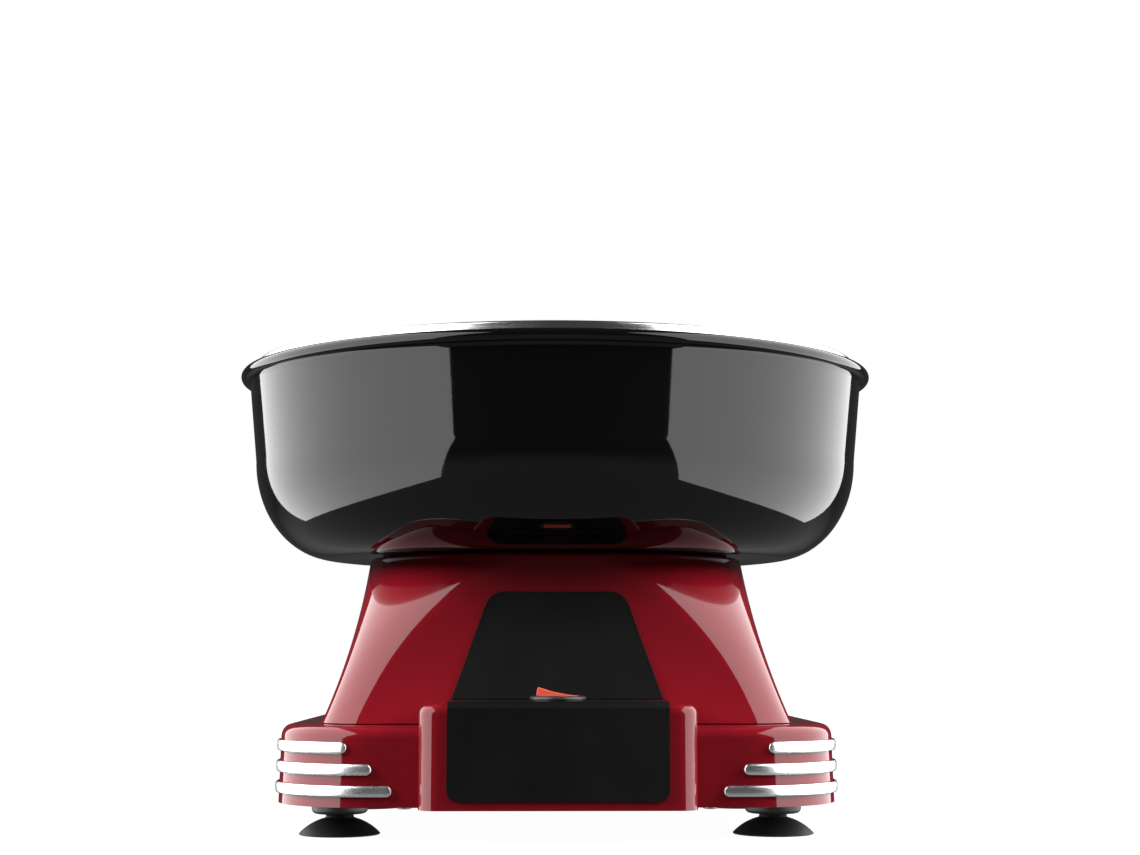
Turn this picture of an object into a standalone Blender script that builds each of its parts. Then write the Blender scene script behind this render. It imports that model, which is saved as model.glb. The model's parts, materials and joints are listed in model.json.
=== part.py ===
"""Tabletop cotton candy machine.

A red housing on four suction feet holds the motor and the heater. A sugar head spins on the motor
shaft in the middle of a round bowl that lifts off. The front faces -Y, +X is to the right seen from
the front, and the origin is on the table under the middle of the bowl.
"""
import math

import bmesh
import bpy
from mathutils import Matrix, Vector

MM = 0.001
GAP = 0.3 * MM          # kept between pieces that touch
WALL = 2.4 * MM         # wall of the moulded housings

# Lower housing: a rounded square with a block in the middle of its front
BASE_HALF_X = 115 * MM
BASE_HALF_Y = 118.5 * MM
BASE_CORNER = 40 * MM
BASE_BOTTOM = 14 * MM
BASE_TOP = 46 * MM
BASE_EDGE = 5 * MM      # radius of the top edge
BASE_DRAFT = 0.4 * MM   # how far the walls lean out at the bottom and in at the top
BLOCK_HALF_X = 55 * MM
BLOCK_FRONT = -133.2 * MM
BLOCK_BACK = -90 * MM
BLOCK_TOP = 54.9 * MM
BLOCK_CORNER = 8 * MM
BLOCK_EDGE = 4 * MM

# Upper housing: square at its foot, round at its top
NECK_HALF = 98 * MM
NECK_CORNER = 18 * MM
NECK_BOTTOM = BASE_TOP + GAP
NECK_ROUND_Z = 115 * MM
NECK_TOP = 117 * MM
SEAL_INNER = 70 * MM
SEAL_OUTER = 79 * MM
SEAL_GROOVE = 0.9 * MM
NECK_TOP_HALF = 84 * MM
NECK_TOP_CORNER = 70 * MM
NECK_HOLLOW = 2.0       # how much the sides curve inward on the way up
NECK_OPENING = 2.3      # how late the corners open out on the way up
WELL_RADIUS = 40 * MM                # hole in the top for the heater pan

# Black panels
PANEL_HALF_X = 43.5 * MM
PANEL_BOTTOM = 17.4 * MM
PANEL_CORNER = 4.5 * MM
PANEL_THICK = 0.8 * MM
LEDGE_TOP = BLOCK_TOP + GAP + PANEL_THICK
LEDGE_BACK = -96.8 * MM
SLOPE_PANEL_TOP = 100.5 * MM
SLOPE_PANEL_HALF_TOP = 28 * MM
SLOPE_PANEL_CORNER = 5.5 * MM

# Chrome strips that wrap the front corners: height, inner tip on the front, inner tip on the side
STRIPS = (("upper", 37.4 * MM, 83.9 * MM, 60 * MM),
          ("middle", 28.9 * MM, 73.9 * MM, 50 * MM),
          ("lower", 20.4 * MM, 65.8 * MM, 42 * MM))
STRIP_HEIGHT = 4.5 * MM
STRIP_PROUD = 1.7 * MM

# Switch
SWITCH_Y = -116 * MM
SWITCH_FLANGE = 11.4 * MM
SWITCH_BARREL = 10.6 * MM
SWITCH_TOP = LEDGE_TOP + GAP + 1.6 * MM
ROCKER_PIVOT_Z = SWITCH_TOP - 0.1 * MM
ROCKER_REACH = 8.6 * MM
ROCKER_HALF_Y = 3.8 * MM
ROCKER_TILT = math.radians(12)
ROCKER_HOLLOW = 0.6 * MM

# Feet
FOOT_X = 90.5 * MM
FOOT_Y = 75 * MM
CUP_RADIUS = 16.9 * MM
CUP_HEIGHT = 6.9 * MM
CUP_STEM = 6.1 * MM
FOOT_DISC = 11.75 * MM
FOOT_DISC_BOTTOM = 8.6 * MM

# Bowl
BOWL_RADIUS = 145 * MM
BOWL_BOTTOM = 117.6 * MM
BOWL_FLAT = 102 * MM
BOWL_CURVE = 35.5 * MM
BOWL_RISE = 44 * MM
BOWL_WALL_TOP = 140.8 * MM
BOWL_WALL = 2.2 * MM
BOWL_HOLE = 48 * MM
BEAD_RADIUS = 2.6 * MM
BEAD_Z = 200 * MM
LINER_GAP = 0.4 * MM
LINER_WALL = 0.8 * MM
LIP_TOP = 206.5 * MM
LIP_RADIUS = 138 * MM
LINER_COLLAR_TOP = 131 * MM

# Motor, heater and head, all turned about Z
SHAFT_RADIUS = 3 * MM
SHAFT_BOTTOM = 37 * MM
SHAFT_TOP = 144 * MM
RUNNING_GAP = 0.06 * MM
STATOR_HALF = 32 * MM
STATOR_BORE = 20.6 * MM
MOTOR_BOLT_PLACE = 26 * MM
BRACKET_Z = 98.6 * MM
BRACKET_THICK = 1.4 * MM
BRACKET_RADIUS = 62 * MM
BRACKET_SCREW_CIRCLE = 55 * MM
PAN_FLOOR = 110 * MM
PAN_RADIUS = 46.2 * MM
PAN_TOP = 131 * MM
HEATER_RING = 27 * MM
HEATER_Z = 122 * MM
HEAD_BOTTOM = 135.8 * MM
HEAD_RADIUS = 41.5 * MM
HEAD_HOLE = 15 * MM
HEAD_SLOTS = 12
FAN_BLADES = 7
VENT_PITCH = 11 * MM
VENT_WIDTH = 3.6 * MM
VENT_REACH = 44 * MM

INLET_Z = 30 * MM
ROUND = 32              # segments of the large turned pieces
MID_ROUND = 24          # segments of the head, the pan and the motor bracket
SMALL_ROUND = 16        # segments of the small turned pieces
SIDE_STEPS = 4          # steps along a flat side of a square outline
CORNER_STEPS = 4        # steps around a corner of a square outline

FINISHES = {
    "red_plastic": ((0.30, 0.006, 0.012), 0.12, 0.0),
    "black_gloss": ((0.008, 0.008, 0.008), 0.08, 0.0),
    "panel_black": ((0.009, 0.009, 0.009), 0.25, 0.0),
    "chrome": ((0.86, 0.87, 0.88), 0.07, 1.0),
    "steel": ((0.70, 0.70, 0.71), 0.22, 1.0),
    "aluminium": ((0.78, 0.79, 0.80), 0.30, 1.0),
    "rubber": ((0.012, 0.012, 0.012), 0.55, 0.0),
    "switch_red": ((0.72, 0.10, 0.05), 0.20, 0.0),
    "switch_black": ((0.03, 0.03, 0.03), 0.40, 0.0),
    "dark_plastic": ((0.03, 0.03, 0.032), 0.50, 0.0),
    "ceramic": ((0.85, 0.83, 0.78), 0.60, 0.0),
    "heater_metal": ((0.24, 0.20, 0.18), 0.45, 1.0),
    "zinc": ((0.55, 0.56, 0.58), 0.38, 1.0),
    "lamination": ((0.20, 0.21, 0.23), 0.50, 1.0),
    "copper": ((0.75, 0.32, 0.16), 0.35, 1.0),
    "bronze": ((0.55, 0.38, 0.18), 0.35, 1.0),
    "wire_cover": ((0.16, 0.20, 0.42), 0.45, 0.0),
}


def clear_scene():
    for thing in list(bpy.data.objects):
        bpy.data.objects.remove(thing, do_unlink=True)


def material(name):
    """The named finish as a Principled material."""
    found = bpy.data.materials.get(name)
    if found:
        return found
    color, roughness, metallic = FINISHES[name]
    made = bpy.data.materials.new(name)
    made.use_nodes = True
    shader = made.node_tree.nodes["Principled BSDF"]
    shader.inputs["Base Color"].default_value = (*color, 1)
    shader.inputs["Roughness"].default_value = roughness
    shader.inputs["Metallic"].default_value = metallic
    return made


def body_frame(name, place=(0, 0, 0)):
    """An empty that carries the pieces of one rigid body; it stands on the body's joint axis."""
    empty = bpy.data.objects.new(name, None)
    empty.location = place
    bpy.context.collection.objects.link(empty)
    return empty


def add_object(name, mesh_data, finish, body, place=(0, 0, 0)):
    """A named object from a bmesh built around the point `place`, parented to its body."""
    bmesh.ops.remove_doubles(mesh_data, verts=mesh_data.verts, dist=0.002 * MM)
    bmesh.ops.recalc_face_normals(mesh_data, faces=mesh_data.faces)
    mesh = bpy.data.meshes.new(name)
    mesh_data.to_mesh(mesh)
    mesh_data.free()
    mesh.shade_smooth()
    mesh.set_sharp_from_angle(angle=math.radians(32))
    thing = bpy.data.objects.new(name, mesh)
    thing.location = place
    bpy.context.collection.objects.link(thing)
    if finish:
        mesh.materials.append(material(finish))
    if body:
        thing.parent = body
        thing.location = Vector(place) - body.location
    return thing


def add_copy(source, name, place):
    """Another object with the same mesh, at its own place."""
    thing = bpy.data.objects.new(name, source.data)
    thing.parent = source.parent
    thing.location = place
    bpy.context.collection.objects.link(thing)
    return thing


def arc(center_r, center_z, radius, start, end, steps, rise=None):
    """Points of an arc in the r-z plane, angles in degrees from the +r direction.

    With a rise the arc belongs to an ellipse that is radius wide and rise high.
    """
    rise = rise or radius
    turn = [math.radians(start + (end - start) * i / steps) for i in range(steps + 1)]
    return [(center_r + radius * math.cos(a), center_z + rise * math.sin(a)) for a in turn]


def turned(outline, segments, axis_open=False):
    """A closed r-z outline spun about Z. With axis_open it starts and ends on the axis."""
    bm = bmesh.new()
    points = [bm.verts.new((r, 0, z)) for r, z in outline]
    edges = [bm.edges.new(pair) for pair in zip(points, points[1:])]
    if not axis_open:
        edges.append(bm.edges.new((points[-1], points[0])))
    bmesh.ops.spin(bm, geom=points + edges, cent=(0, 0, 0), axis=(0, 0, 1), angle=2 * math.pi,
                   steps=segments, use_duplicate=False)
    bmesh.ops.remove_doubles(bm, verts=bm.verts, dist=0.002 * MM)
    return bm


def rod(radius, bottom, top, segments=SMALL_ROUND, edge=0.0):
    """A solid round bar along Z, with a chamfer of `edge` at both ends."""
    if edge:
        outline = [(0, bottom), (radius - edge, bottom), (radius, bottom + edge),
                   (radius, top - edge), (radius - edge, top), (0, top)]
    else:
        outline = [(0, bottom), (radius, bottom), (radius, top), (0, top)]
    return turned(outline, segments, axis_open=True)


def tube(inner, outer, bottom, top, segments=SMALL_ROUND):
    return turned([(inner, bottom), (outer, bottom), (outer, top), (inner, top)], segments)


def screw_mesh(radius, head_radius, head_height, length):
    """A pan-head screw standing on z = 0: the head below, the shank above."""
    outline = [(0, 0), (head_radius * 0.75, 0), (head_radius, head_height * 0.4),
               (head_radius, head_height), (radius, head_height),
               (radius, head_height + length - radius), (radius * 0.4, head_height + length),
               (0, head_height + length)]
    return turned(outline, 8, axis_open=True)


def square_ring(half_x, half_y, corner, z, center_y=0.0):
    """A rounded rectangle, counterclockwise from above, starting at the left of the front side."""
    ring = []
    reach = ((half_x, half_y), (half_y, half_x), (half_x, half_y), (half_y, half_x))
    for quarter, (along, out) in enumerate(reach):
        spin = Matrix.Rotation(quarter * math.pi / 2, 3, "Z")
        flat = along - corner
        for i in range(SIDE_STEPS):
            ring.append(spin @ Vector((flat * (2 * i / SIDE_STEPS - 1), -out, 0)))
        for i in range(CORNER_STEPS):
            a = math.pi / 2 * i / CORNER_STEPS
            ring.append(spin @ Vector((flat + corner * math.sin(a),
                                       corner * (1 - math.cos(a)) - out, 0)))
    return [Vector((p.x, p.y + center_y, z)) for p in ring]


def circle_ring(radius, z, flat_angle=math.radians(36)):
    """A circle whose points face those of square_ring; a flat side faces flat_angle to each side."""
    ring = []
    for quarter in range(4):
        middle = quarter * math.pi / 2
        for i in range(SIDE_STEPS):
            ring.append(middle + flat_angle * (2 * i / SIDE_STEPS - 1))
        for i in range(CORNER_STEPS):
            ring.append(middle + flat_angle + (math.pi / 2 - 2 * flat_angle) * i / CORNER_STEPS)
    return [Vector((radius * math.sin(a), -radius * math.cos(a), z)) for a in ring]


def loft(rings, closed=False):
    """Faces between one ring and the next. Closed joins the last ring to the first; otherwise
    the first and last rings are capped."""
    bm = bmesh.new()
    loops = [[bm.verts.new(p) for p in ring] for ring in rings]
    pairs = list(zip(loops, loops[1:]))
    if closed:
        pairs.append((loops[-1], loops[0]))
    for low, high in pairs:
        for i in range(len(low)):
            j = (i + 1) % len(low)
            bm.faces.new((low[i], low[j], high[j], high[i]))
    if not closed:
        bm.faces.new(list(reversed(loops[0])))
        bm.faces.new(loops[-1])
    return bm


def plate(outer, inner):
    """A thin closed sheet between two grids of points of the same size."""
    bm = bmesh.new()
    front = [[bm.verts.new(p) for p in row] for row in outer]
    back = [[bm.verts.new(p) for p in row] for row in inner]
    rows = len(front)
    columns = len(front[0])
    for i in range(rows - 1):
        for j in range(columns - 1):
            bm.faces.new((front[i][j], front[i][j + 1], front[i + 1][j + 1], front[i + 1][j]))
            bm.faces.new((back[i][j], back[i + 1][j], back[i + 1][j + 1], back[i][j + 1]))
    for i in range(rows - 1):
        for j in (0, columns - 1):
            bm.faces.new((front[i][j], front[i + 1][j], back[i + 1][j], back[i][j]))
    for j in range(columns - 1):
        for i in (0, rows - 1):
            bm.faces.new((front[i][j], front[i][j + 1], back[i][j + 1], back[i][j]))
    return bm


def combine(thing, operation, *others):
    """Boolean modifiers with hidden helper solids."""
    for helper in others:
        helper.hide_render = True
        helper.display_type = "WIRE"
        step = thing.modifiers.new(operation.title(), "BOOLEAN")
        step.operation = operation
        step.solver = "EXACT"
        step.object = helper


def helper(name, mesh_data, place=(0, 0, 0)):
    return add_object("cutter_" + name, mesh_data, None, None, place)


def gather(parts):
    """One bmesh that holds all of these."""
    whole = bmesh.new()
    for part in parts:
        mesh = bpy.data.meshes.new("gathered")
        part.to_mesh(mesh)
        part.free()
        whole.from_mesh(mesh)
        bpy.data.meshes.remove(mesh)
    return whole


def scatter(make_mesh, places):
    """One bmesh with a copy of the shape at each place."""
    parts = []
    for place in places:
        part = make_mesh()
        bmesh.ops.translate(part, verts=part.verts, vec=place)
        parts.append(part)
    return gather(parts)


def box(size, place, lean=0.0, turn=0.0):
    """A cuboid: leaned about its own X axis, moved to its place, then turned about Z."""
    made = bmesh.new()
    bmesh.ops.create_cube(made, size=1)
    bmesh.ops.scale(made, verts=made.verts, vec=size)
    bmesh.ops.rotate(made, verts=made.verts, matrix=Matrix.Rotation(lean, 3, "X"))
    bmesh.ops.translate(made, verts=made.verts, vec=place)
    bmesh.ops.rotate(made, verts=made.verts, matrix=Matrix.Rotation(turn, 3, "Z"))
    return made


def round_places(radius, count, start=0.0):
    turn = [start + 2 * math.pi * i / count for i in range(count)]
    return [(radius * math.cos(a), radius * math.sin(a), 0) for a in turn]


# ---------------------------------------------------------------- housings

COVER_SCREWS = [(x, y, 0) for x in (-62 * MM, 62 * MM) for y in (-100 * MM, 100 * MM)]


def rounded_box(half_x, half_y, corner, bottom, top, edge, center_y=0.0, lean=0.0):
    """A rounded rectangle with a rounded top edge and walls that lean in towards the top."""
    rings = [square_ring(half_x + lean, half_y + lean, corner + lean, bottom, center_y),
             square_ring(half_x - lean, half_y - lean, corner - lean, top - edge, center_y)]
    steps = 3
    for i in range(1, steps + 1):
        a = math.pi / 2 * i / steps
        inset = lean + edge * (1 - math.cos(a))
        rings.append(square_ring(half_x - inset, half_y - inset, max(corner - inset, 0.4 * MM),
                                 top - edge + edge * math.sin(a), center_y))
    return loft(rings)


def neck_size(z, offset=0.0):
    """Half width and corner radius of the neck at height z. The corners are tight at the foot and
    open out towards the top, where the neck is almost round."""
    share = min(max((z - NECK_BOTTOM) / (NECK_ROUND_Z - NECK_BOTTOM), 0), 1)
    half = NECK_TOP_HALF + (NECK_HALF - NECK_TOP_HALF) * (1 - share) ** NECK_HOLLOW
    corner = NECK_CORNER + (NECK_TOP_CORNER - NECK_CORNER) * share ** NECK_OPENING
    return half + offset, corner + offset


def neck_ring(z, offset=0.0):
    half, corner = neck_size(z, offset)
    return square_ring(half, half, corner, z)


def neck_front_y(x, z, offset):
    """Y of the neck's front surface at x and z, moved outward by offset."""
    half, corner = neck_size(z, offset)
    beyond = max(abs(x) - (half - corner), 0)
    return corner - half - math.sqrt(corner ** 2 - beyond ** 2)


def make_lower_housing(body):
    shell = rounded_box(BASE_HALF_X, BASE_HALF_Y, BASE_CORNER, BASE_BOTTOM, BASE_TOP, BASE_EDGE,
                        lean=BASE_DRAFT)
    housing = add_object("lower_housing", shell, "red_plastic", body)
    depth = BLOCK_BACK - BLOCK_FRONT
    middle = (BLOCK_BACK + BLOCK_FRONT) / 2
    block = rounded_box(BLOCK_HALF_X, depth / 2, BLOCK_CORNER, BASE_BOTTOM - 0.2 * MM,
                        BLOCK_TOP, BLOCK_EDGE, middle)
    wall = WALL + 2 * BASE_DRAFT
    inside = loft([square_ring(BASE_HALF_X - wall, BASE_HALF_Y - wall, BASE_CORNER - wall, z)
                   for z in (BASE_BOTTOM - 2 * MM, BASE_TOP - WALL)])
    block_inside = loft([square_ring(BLOCK_HALF_X - WALL, depth / 2, 2 * MM, z, middle + WALL)
                         for z in (BASE_BOTTOM - 3 * MM, BLOCK_TOP - WALL)])
    opening = loft([square_ring(NECK_HALF - 8 * MM, NECK_HALF - 8 * MM, 12 * MM, z)
                    for z in (BASE_TOP - 6 * MM, BASE_TOP + 20 * MM)])
    neck_space = loft([neck_ring(z, 2 * GAP) for z in (BASE_TOP, BASE_TOP + 20 * MM)])
    bosses = scatter(lambda: tube(2 * MM, 4.2 * MM, 17 * MM, BASE_TOP - 1 * MM, 8), COVER_SCREWS)
    switch_hole = rod(SWITCH_BARREL + GAP, 40 * MM, 70 * MM)
    inlet_hole = rod(5.6 * MM, 0, 20 * MM)
    bmesh.ops.rotate(inlet_hole, verts=inlet_hole.verts, matrix=Matrix.Rotation(-math.pi / 2, 3, "X"))
    combine(housing, "UNION", helper("block", block))
    combine(housing, "DIFFERENCE", helper("base_inside", inside),
            helper("block_inside", block_inside), helper("base_opening", opening),
            helper("neck_space", neck_space))
    combine(housing, "UNION", helper("base_bosses", bosses))
    combine(housing, "DIFFERENCE", helper("switch_hole", switch_hole, (0, SWITCH_Y, 0)),
            helper("inlet_hole", inlet_hole, (0, 105 * MM, INLET_Z)))


def make_upper_housing(body):
    height = NECK_ROUND_Z - NECK_BOTTOM
    levels = [NECK_BOTTOM + share * height for share in (0, 0.15, 0.3, 0.45, 0.6, 0.75, 0.9, 1)]
    rings = [neck_ring(z) for z in levels]
    edge = NECK_TOP - NECK_ROUND_Z
    for a in (45, 90):
        turn = math.radians(a)
        rings.append([Vector((p.x, p.y, NECK_ROUND_Z + edge * math.sin(turn)))
                      for p in neck_ring(NECK_ROUND_Z, -edge * (1 - math.cos(turn)))])
    facing = math.atan2(NECK_TOP_HALF - NECK_TOP_CORNER, NECK_TOP_HALF)
    rings += [circle_ring(radius, NECK_TOP - depth, facing)
              for radius, depth in ((SEAL_OUTER + 1 * MM, 0), (SEAL_OUTER + 1 * MM, SEAL_GROOVE),
                                    (SEAL_INNER - 1 * MM, SEAL_GROOVE), (SEAL_INNER - 1 * MM, 0),
                                    (WELL_RADIUS, 0))]
    rings.append(circle_ring(WELL_RADIUS, NECK_TOP - WALL, facing))
    rings.append([Vector((p.x, p.y, NECK_TOP - WALL)) for p in neck_ring(NECK_ROUND_Z, -WALL)])
    rings += [neck_ring(z, -WALL) for z in reversed(levels[:-1])]
    housing = add_object("upper_housing", loft(rings, closed=True), "red_plastic", body)
    bosses = scatter(lambda: tube(1.9 * MM, 4 * MM, BRACKET_Z + BRACKET_THICK + GAP,
                                  NECK_TOP - 1 * MM, 8),
                     round_places(BRACKET_SCREW_CIRCLE, 3, math.pi / 2))
    combine(housing, "UNION", helper("neck_bosses", bosses))


def make_bottom_cover(body):
    """The plate that closes the underside, with vent slots and holes for its screws."""
    fit = WALL + GAP + 2 * BASE_DRAFT
    thick = 2.4 * MM
    cover = loft([square_ring(BASE_HALF_X - fit, BASE_HALF_Y - fit, BASE_CORNER - fit, z)
                  for z in (BASE_BOTTOM + 0.1 * MM, BASE_BOTTOM + thick)])
    plate_object = add_object("bottom_cover", cover, "dark_plastic", body)
    tongue_front = BLOCK_FRONT + WALL + 2 * GAP
    tongue_middle = (tongue_front - 100 * MM) / 2
    tongue = loft([square_ring(BLOCK_HALF_X - WALL - 2 * GAP, (-100 * MM - tongue_front) / 2,
                               2.5 * MM, z, tongue_middle)
                   for z in (BASE_BOTTOM + 0.05 * MM, BASE_BOTTOM + thick - 0.05 * MM)])
    slots = []
    for row in range(7):
        x = (row - 3) * VENT_PITCH
        reach = math.sqrt(VENT_REACH ** 2 - x ** 2)
        slots += [box((VENT_WIDTH, reach - 5 * MM, 10 * MM),
                      (x, side * (reach / 2 + 1 * MM), BASE_BOTTOM + 1 * MM)) for side in (-1, 1)]
    holes = scatter(lambda: rod(1.9 * MM, 10 * MM, 20 * MM, 8), COVER_SCREWS)
    combine(plate_object, "UNION", helper("cover_tongue", tongue))
    combine(plate_object, "DIFFERENCE", helper("cover_slots", gather(slots)), helper("cover_holes", holes))


def make_panels(body):
    """The black panel folded over the block, and the one on the slope of the neck."""
    bend = 3 * MM
    front = BLOCK_FRONT - GAP - PANEL_THICK
    path = [(LEDGE_BACK, LEDGE_TOP, 0.0, 1.0)]
    for i in range(5):
        a = math.pi / 2 * i / 4
        path.append((front + bend - bend * math.sin(a), LEDGE_TOP - bend + bend * math.cos(a),
                     math.sin(a), math.cos(a)))
    for i in range(4):
        a = math.pi / 2 * i / 4
        path.append((front, PANEL_BOTTOM + PANEL_CORNER * (1 - math.sin(a)), 1.0, 0.0))
    path.append((front, PANEL_BOTTOM, 1.0, 0.0))
    outer = []
    inner = []
    for y, z, out_y, out_z in path:
        above = max(PANEL_BOTTOM + PANEL_CORNER - z, 0)
        half = PANEL_HALF_X - PANEL_CORNER + math.sqrt(max(PANEL_CORNER ** 2 - above ** 2, 0))
        outer.append([(side * half, y, z) for side in (-1, 1)])
        inner.append([(side * half, y + PANEL_THICK * out_y, z - PANEL_THICK * out_z)
                      for side in (-1, 1)])
    panel = add_object("front_panel", plate(outer, inner), "panel_black", body)
    hole = rod(SWITCH_BARREL + GAP, 50 * MM, 60 * MM)
    combine(panel, "DIFFERENCE", helper("panel_hole", hole, (0, SWITCH_Y, 0)))

    bottom = LEDGE_TOP + GAP
    heights = [bottom + (SLOPE_PANEL_TOP - SLOPE_PANEL_CORNER - bottom) * i / 3 for i in range(4)]
    heights += [SLOPE_PANEL_TOP - SLOPE_PANEL_CORNER * (1 - math.sin(math.pi / 2 * i / 4))
                for i in range(1, 5)]
    outer = []
    inner = []
    columns = 6
    for z in heights:
        share = (z - bottom) / (SLOPE_PANEL_TOP - bottom)
        half = PANEL_HALF_X + (SLOPE_PANEL_HALF_TOP - PANEL_HALF_X) * share
        above = max(z - (SLOPE_PANEL_TOP - SLOPE_PANEL_CORNER), 0)
        half += math.sqrt(max(SLOPE_PANEL_CORNER ** 2 - above ** 2, 0)) - SLOPE_PANEL_CORNER
        across = [half * (2 * j / columns - 1) for j in range(columns + 1)]
        outer.append([(x, neck_front_y(x, z, GAP + PANEL_THICK), z) for x in across])
        inner.append([(x, neck_front_y(x, z, GAP), z) for x in across])
    add_object("slope_panel", plate(outer, inner), "panel_black", body)


def corner_path(distance, offset):
    """Point and outward direction on the base's front right corner; distance 0 is where the arc
    starts, negative along the front and past the arc's end along the side."""
    turn_length = BASE_CORNER * math.pi / 2
    center = Vector((BASE_HALF_X - BASE_CORNER, BASE_CORNER - BASE_HALF_Y))
    a = min(max(distance / BASE_CORNER, 0), math.pi / 2)
    out = Vector((math.sin(a), -math.cos(a)))
    point = center + out * (BASE_CORNER + offset)
    if distance < 0:
        point += Vector((distance, 0))
    if distance > turn_length:
        point += Vector((0, distance - turn_length))
    return point


def make_strips(body):
    """Three domed chrome strips around each front corner, with round ends."""
    half = STRIP_HEIGHT / 2
    across = (-1, -0.6, 0.6, 1)
    for name, height, front_tip, side_tip in STRIPS:
        start = front_tip - (BASE_HALF_X - BASE_CORNER)
        if start > 0:
            start = BASE_CORNER * math.asin(start / BASE_CORNER)
        end = BASE_CORNER * math.pi / 2 + BASE_HALF_Y - BASE_CORNER - side_tip
        stops = [half * (1 - math.cos(math.radians(a))) for a in (30, 60, 90)]
        steps = 10
        inside = [half + (end - start - 2 * half) * i / steps for i in range(1, steps)]
        along = stops + inside + [end - start - s for s in reversed(stops)]
        lean = BASE_DRAFT * (1 - 2 * (height - BASE_BOTTOM) / (BASE_TOP - BASE_EDGE - BASE_BOTTOM))
        outer = []
        inner = []
        for s in along:
            near = min(s, end - start - s, half)
            reach = math.sqrt(half ** 2 - (half - near) ** 2)
            outer_row = []
            inner_row = []
            for q in across:
                dome = (STRIP_PROUD - 1 * MM) * math.sqrt(max(1 - q * q, 0)) * reach / half
                tall = height + q * reach
                base_at = corner_path(start + s, lean + 2 * GAP)
                top_at = corner_path(start + s, lean + 2 * GAP + 0.4 * MM + dome)
                inner_row.append((base_at.x, base_at.y, tall))
                outer_row.append((top_at.x, top_at.y, tall))
            outer.append(outer_row)
            inner.append(inner_row)
        for side, sign in (("right", 1), ("left", -1)):
            grids = [[[(sign * x, y, z) for x, y, z in row] for row in grid]
                     for grid in (outer, inner)]
            add_object("chrome_strip_%s_%s" % (name, side), plate(*grids), "chrome", body)


# ---------------------------------------------------------------- feet, switch, small fittings

def make_feet(body):
    sphere_drop = (CUP_RADIUS ** 2 - CUP_STEM ** 2 - CUP_HEIGHT ** 2) / (2 * CUP_HEIGHT)
    sphere = math.hypot(CUP_RADIUS, sphere_drop)
    dome = []
    for i in range(5):
        r = CUP_RADIUS + (CUP_STEM - CUP_RADIUS) * i / 4
        dome.append((r, 0.5 * MM + (CUP_HEIGHT - 0.5 * MM)
                     * (math.sqrt(sphere ** 2 - r ** 2) - sphere_drop) / CUP_HEIGHT))
    hollow = [(14.2 * MM, 0), (9 * MM, 2.4 * MM), (0, 3.4 * MM)]
    stud = [(CUP_STEM, FOOT_DISC_BOTTOM - GAP), (4 * MM, FOOT_DISC_BOTTOM - GAP),
            (4 * MM, 12.6 * MM), (0, 12.6 * MM)]
    outline = list(reversed(hollow)) + [(CUP_RADIUS - 0.5 * MM, 0)] + dome + stud
    disc = [(4.3 * MM, FOOT_DISC_BOTTOM), (FOOT_DISC - 1.6 * MM, FOOT_DISC_BOTTOM),
            (FOOT_DISC, FOOT_DISC_BOTTOM + 1.6 * MM), (FOOT_DISC, BASE_BOTTOM - 0.2 * MM),
            (4.3 * MM, BASE_BOTTOM - 0.2 * MM)]
    places = {"front_left": (-FOOT_X, -FOOT_Y, 0), "front_right": (FOOT_X, -FOOT_Y, 0),
              "rear_left": (-FOOT_X, FOOT_Y, 0), "rear_right": (FOOT_X, FOOT_Y, 0)}
    for kind, shape, finish in (("suction_foot", outline, "rubber"),
                                ("foot_mount", disc, "dark_plastic")):
        first = None
        for name, place in places.items():
            if first is None:
                mesh = turned(shape, SMALL_ROUND, axis_open=kind == "suction_foot")
                first = add_object("%s_%s" % (kind, name), mesh, finish, body, place)
            else:
                add_copy(first, "%s_%s" % (kind, name), place)


def make_switch(body, rocker_body):
    flange_bottom = LEDGE_TOP + GAP
    barrel_bottom = 38 * MM
    outline = [(0, barrel_bottom), (SWITCH_BARREL, barrel_bottom), (SWITCH_BARREL, flange_bottom),
               (SWITCH_FLANGE, flange_bottom), (SWITCH_FLANGE, SWITCH_TOP - 0.8 * MM),
               (SWITCH_FLANGE - 0.8 * MM, SWITCH_TOP), (0, SWITCH_TOP)]
    place = (0, SWITCH_Y, 0)
    switch = add_object("switch_body", turned(outline, SMALL_ROUND, axis_open=True),
                        "switch_black", body, place)
    pocket = loft([square_ring(ROCKER_REACH + 0.4 * MM, ROCKER_HALF_Y + 0.4 * MM, 0.4 * MM, z)
                   for z in (ROCKER_PIVOT_Z - 7.6 * MM, SWITCH_TOP + 5 * MM)])
    combine(switch, "DIFFERENCE", helper("switch_pocket", pocket, place))

    tip = math.radians(12.5)
    low = math.radians(-27)
    profile = [(ROCKER_REACH * math.cos(a), ROCKER_REACH * math.sin(a))
               for a in (low, low / 2, 0, tip)]
    end_x = ROCKER_REACH * math.cos(tip)
    end_z = ROCKER_REACH * math.sin(tip)
    for i in range(1, 8):
        x = end_x * (1 - 2 * i / 8)
        profile.append((x, end_z - ROCKER_HOLLOW * (1 - (x / end_x) ** 2)))
    profile += [(-x, z) for x, z in reversed(profile[:4])]
    profile += [(-1.5 * MM, -6 * MM), (1.5 * MM, -6 * MM)]
    mesh = loft([[(x, y, z) for x, z in profile] for y in (-ROCKER_HALF_Y, ROCKER_HALF_Y)])
    bmesh.ops.rotate(mesh, verts=mesh.verts, matrix=Matrix.Rotation(ROCKER_TILT, 3, "Y"))
    add_object("switch_rocker", mesh, "switch_red", rocker_body, (0, SWITCH_Y, ROCKER_PIVOT_Z))


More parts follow.
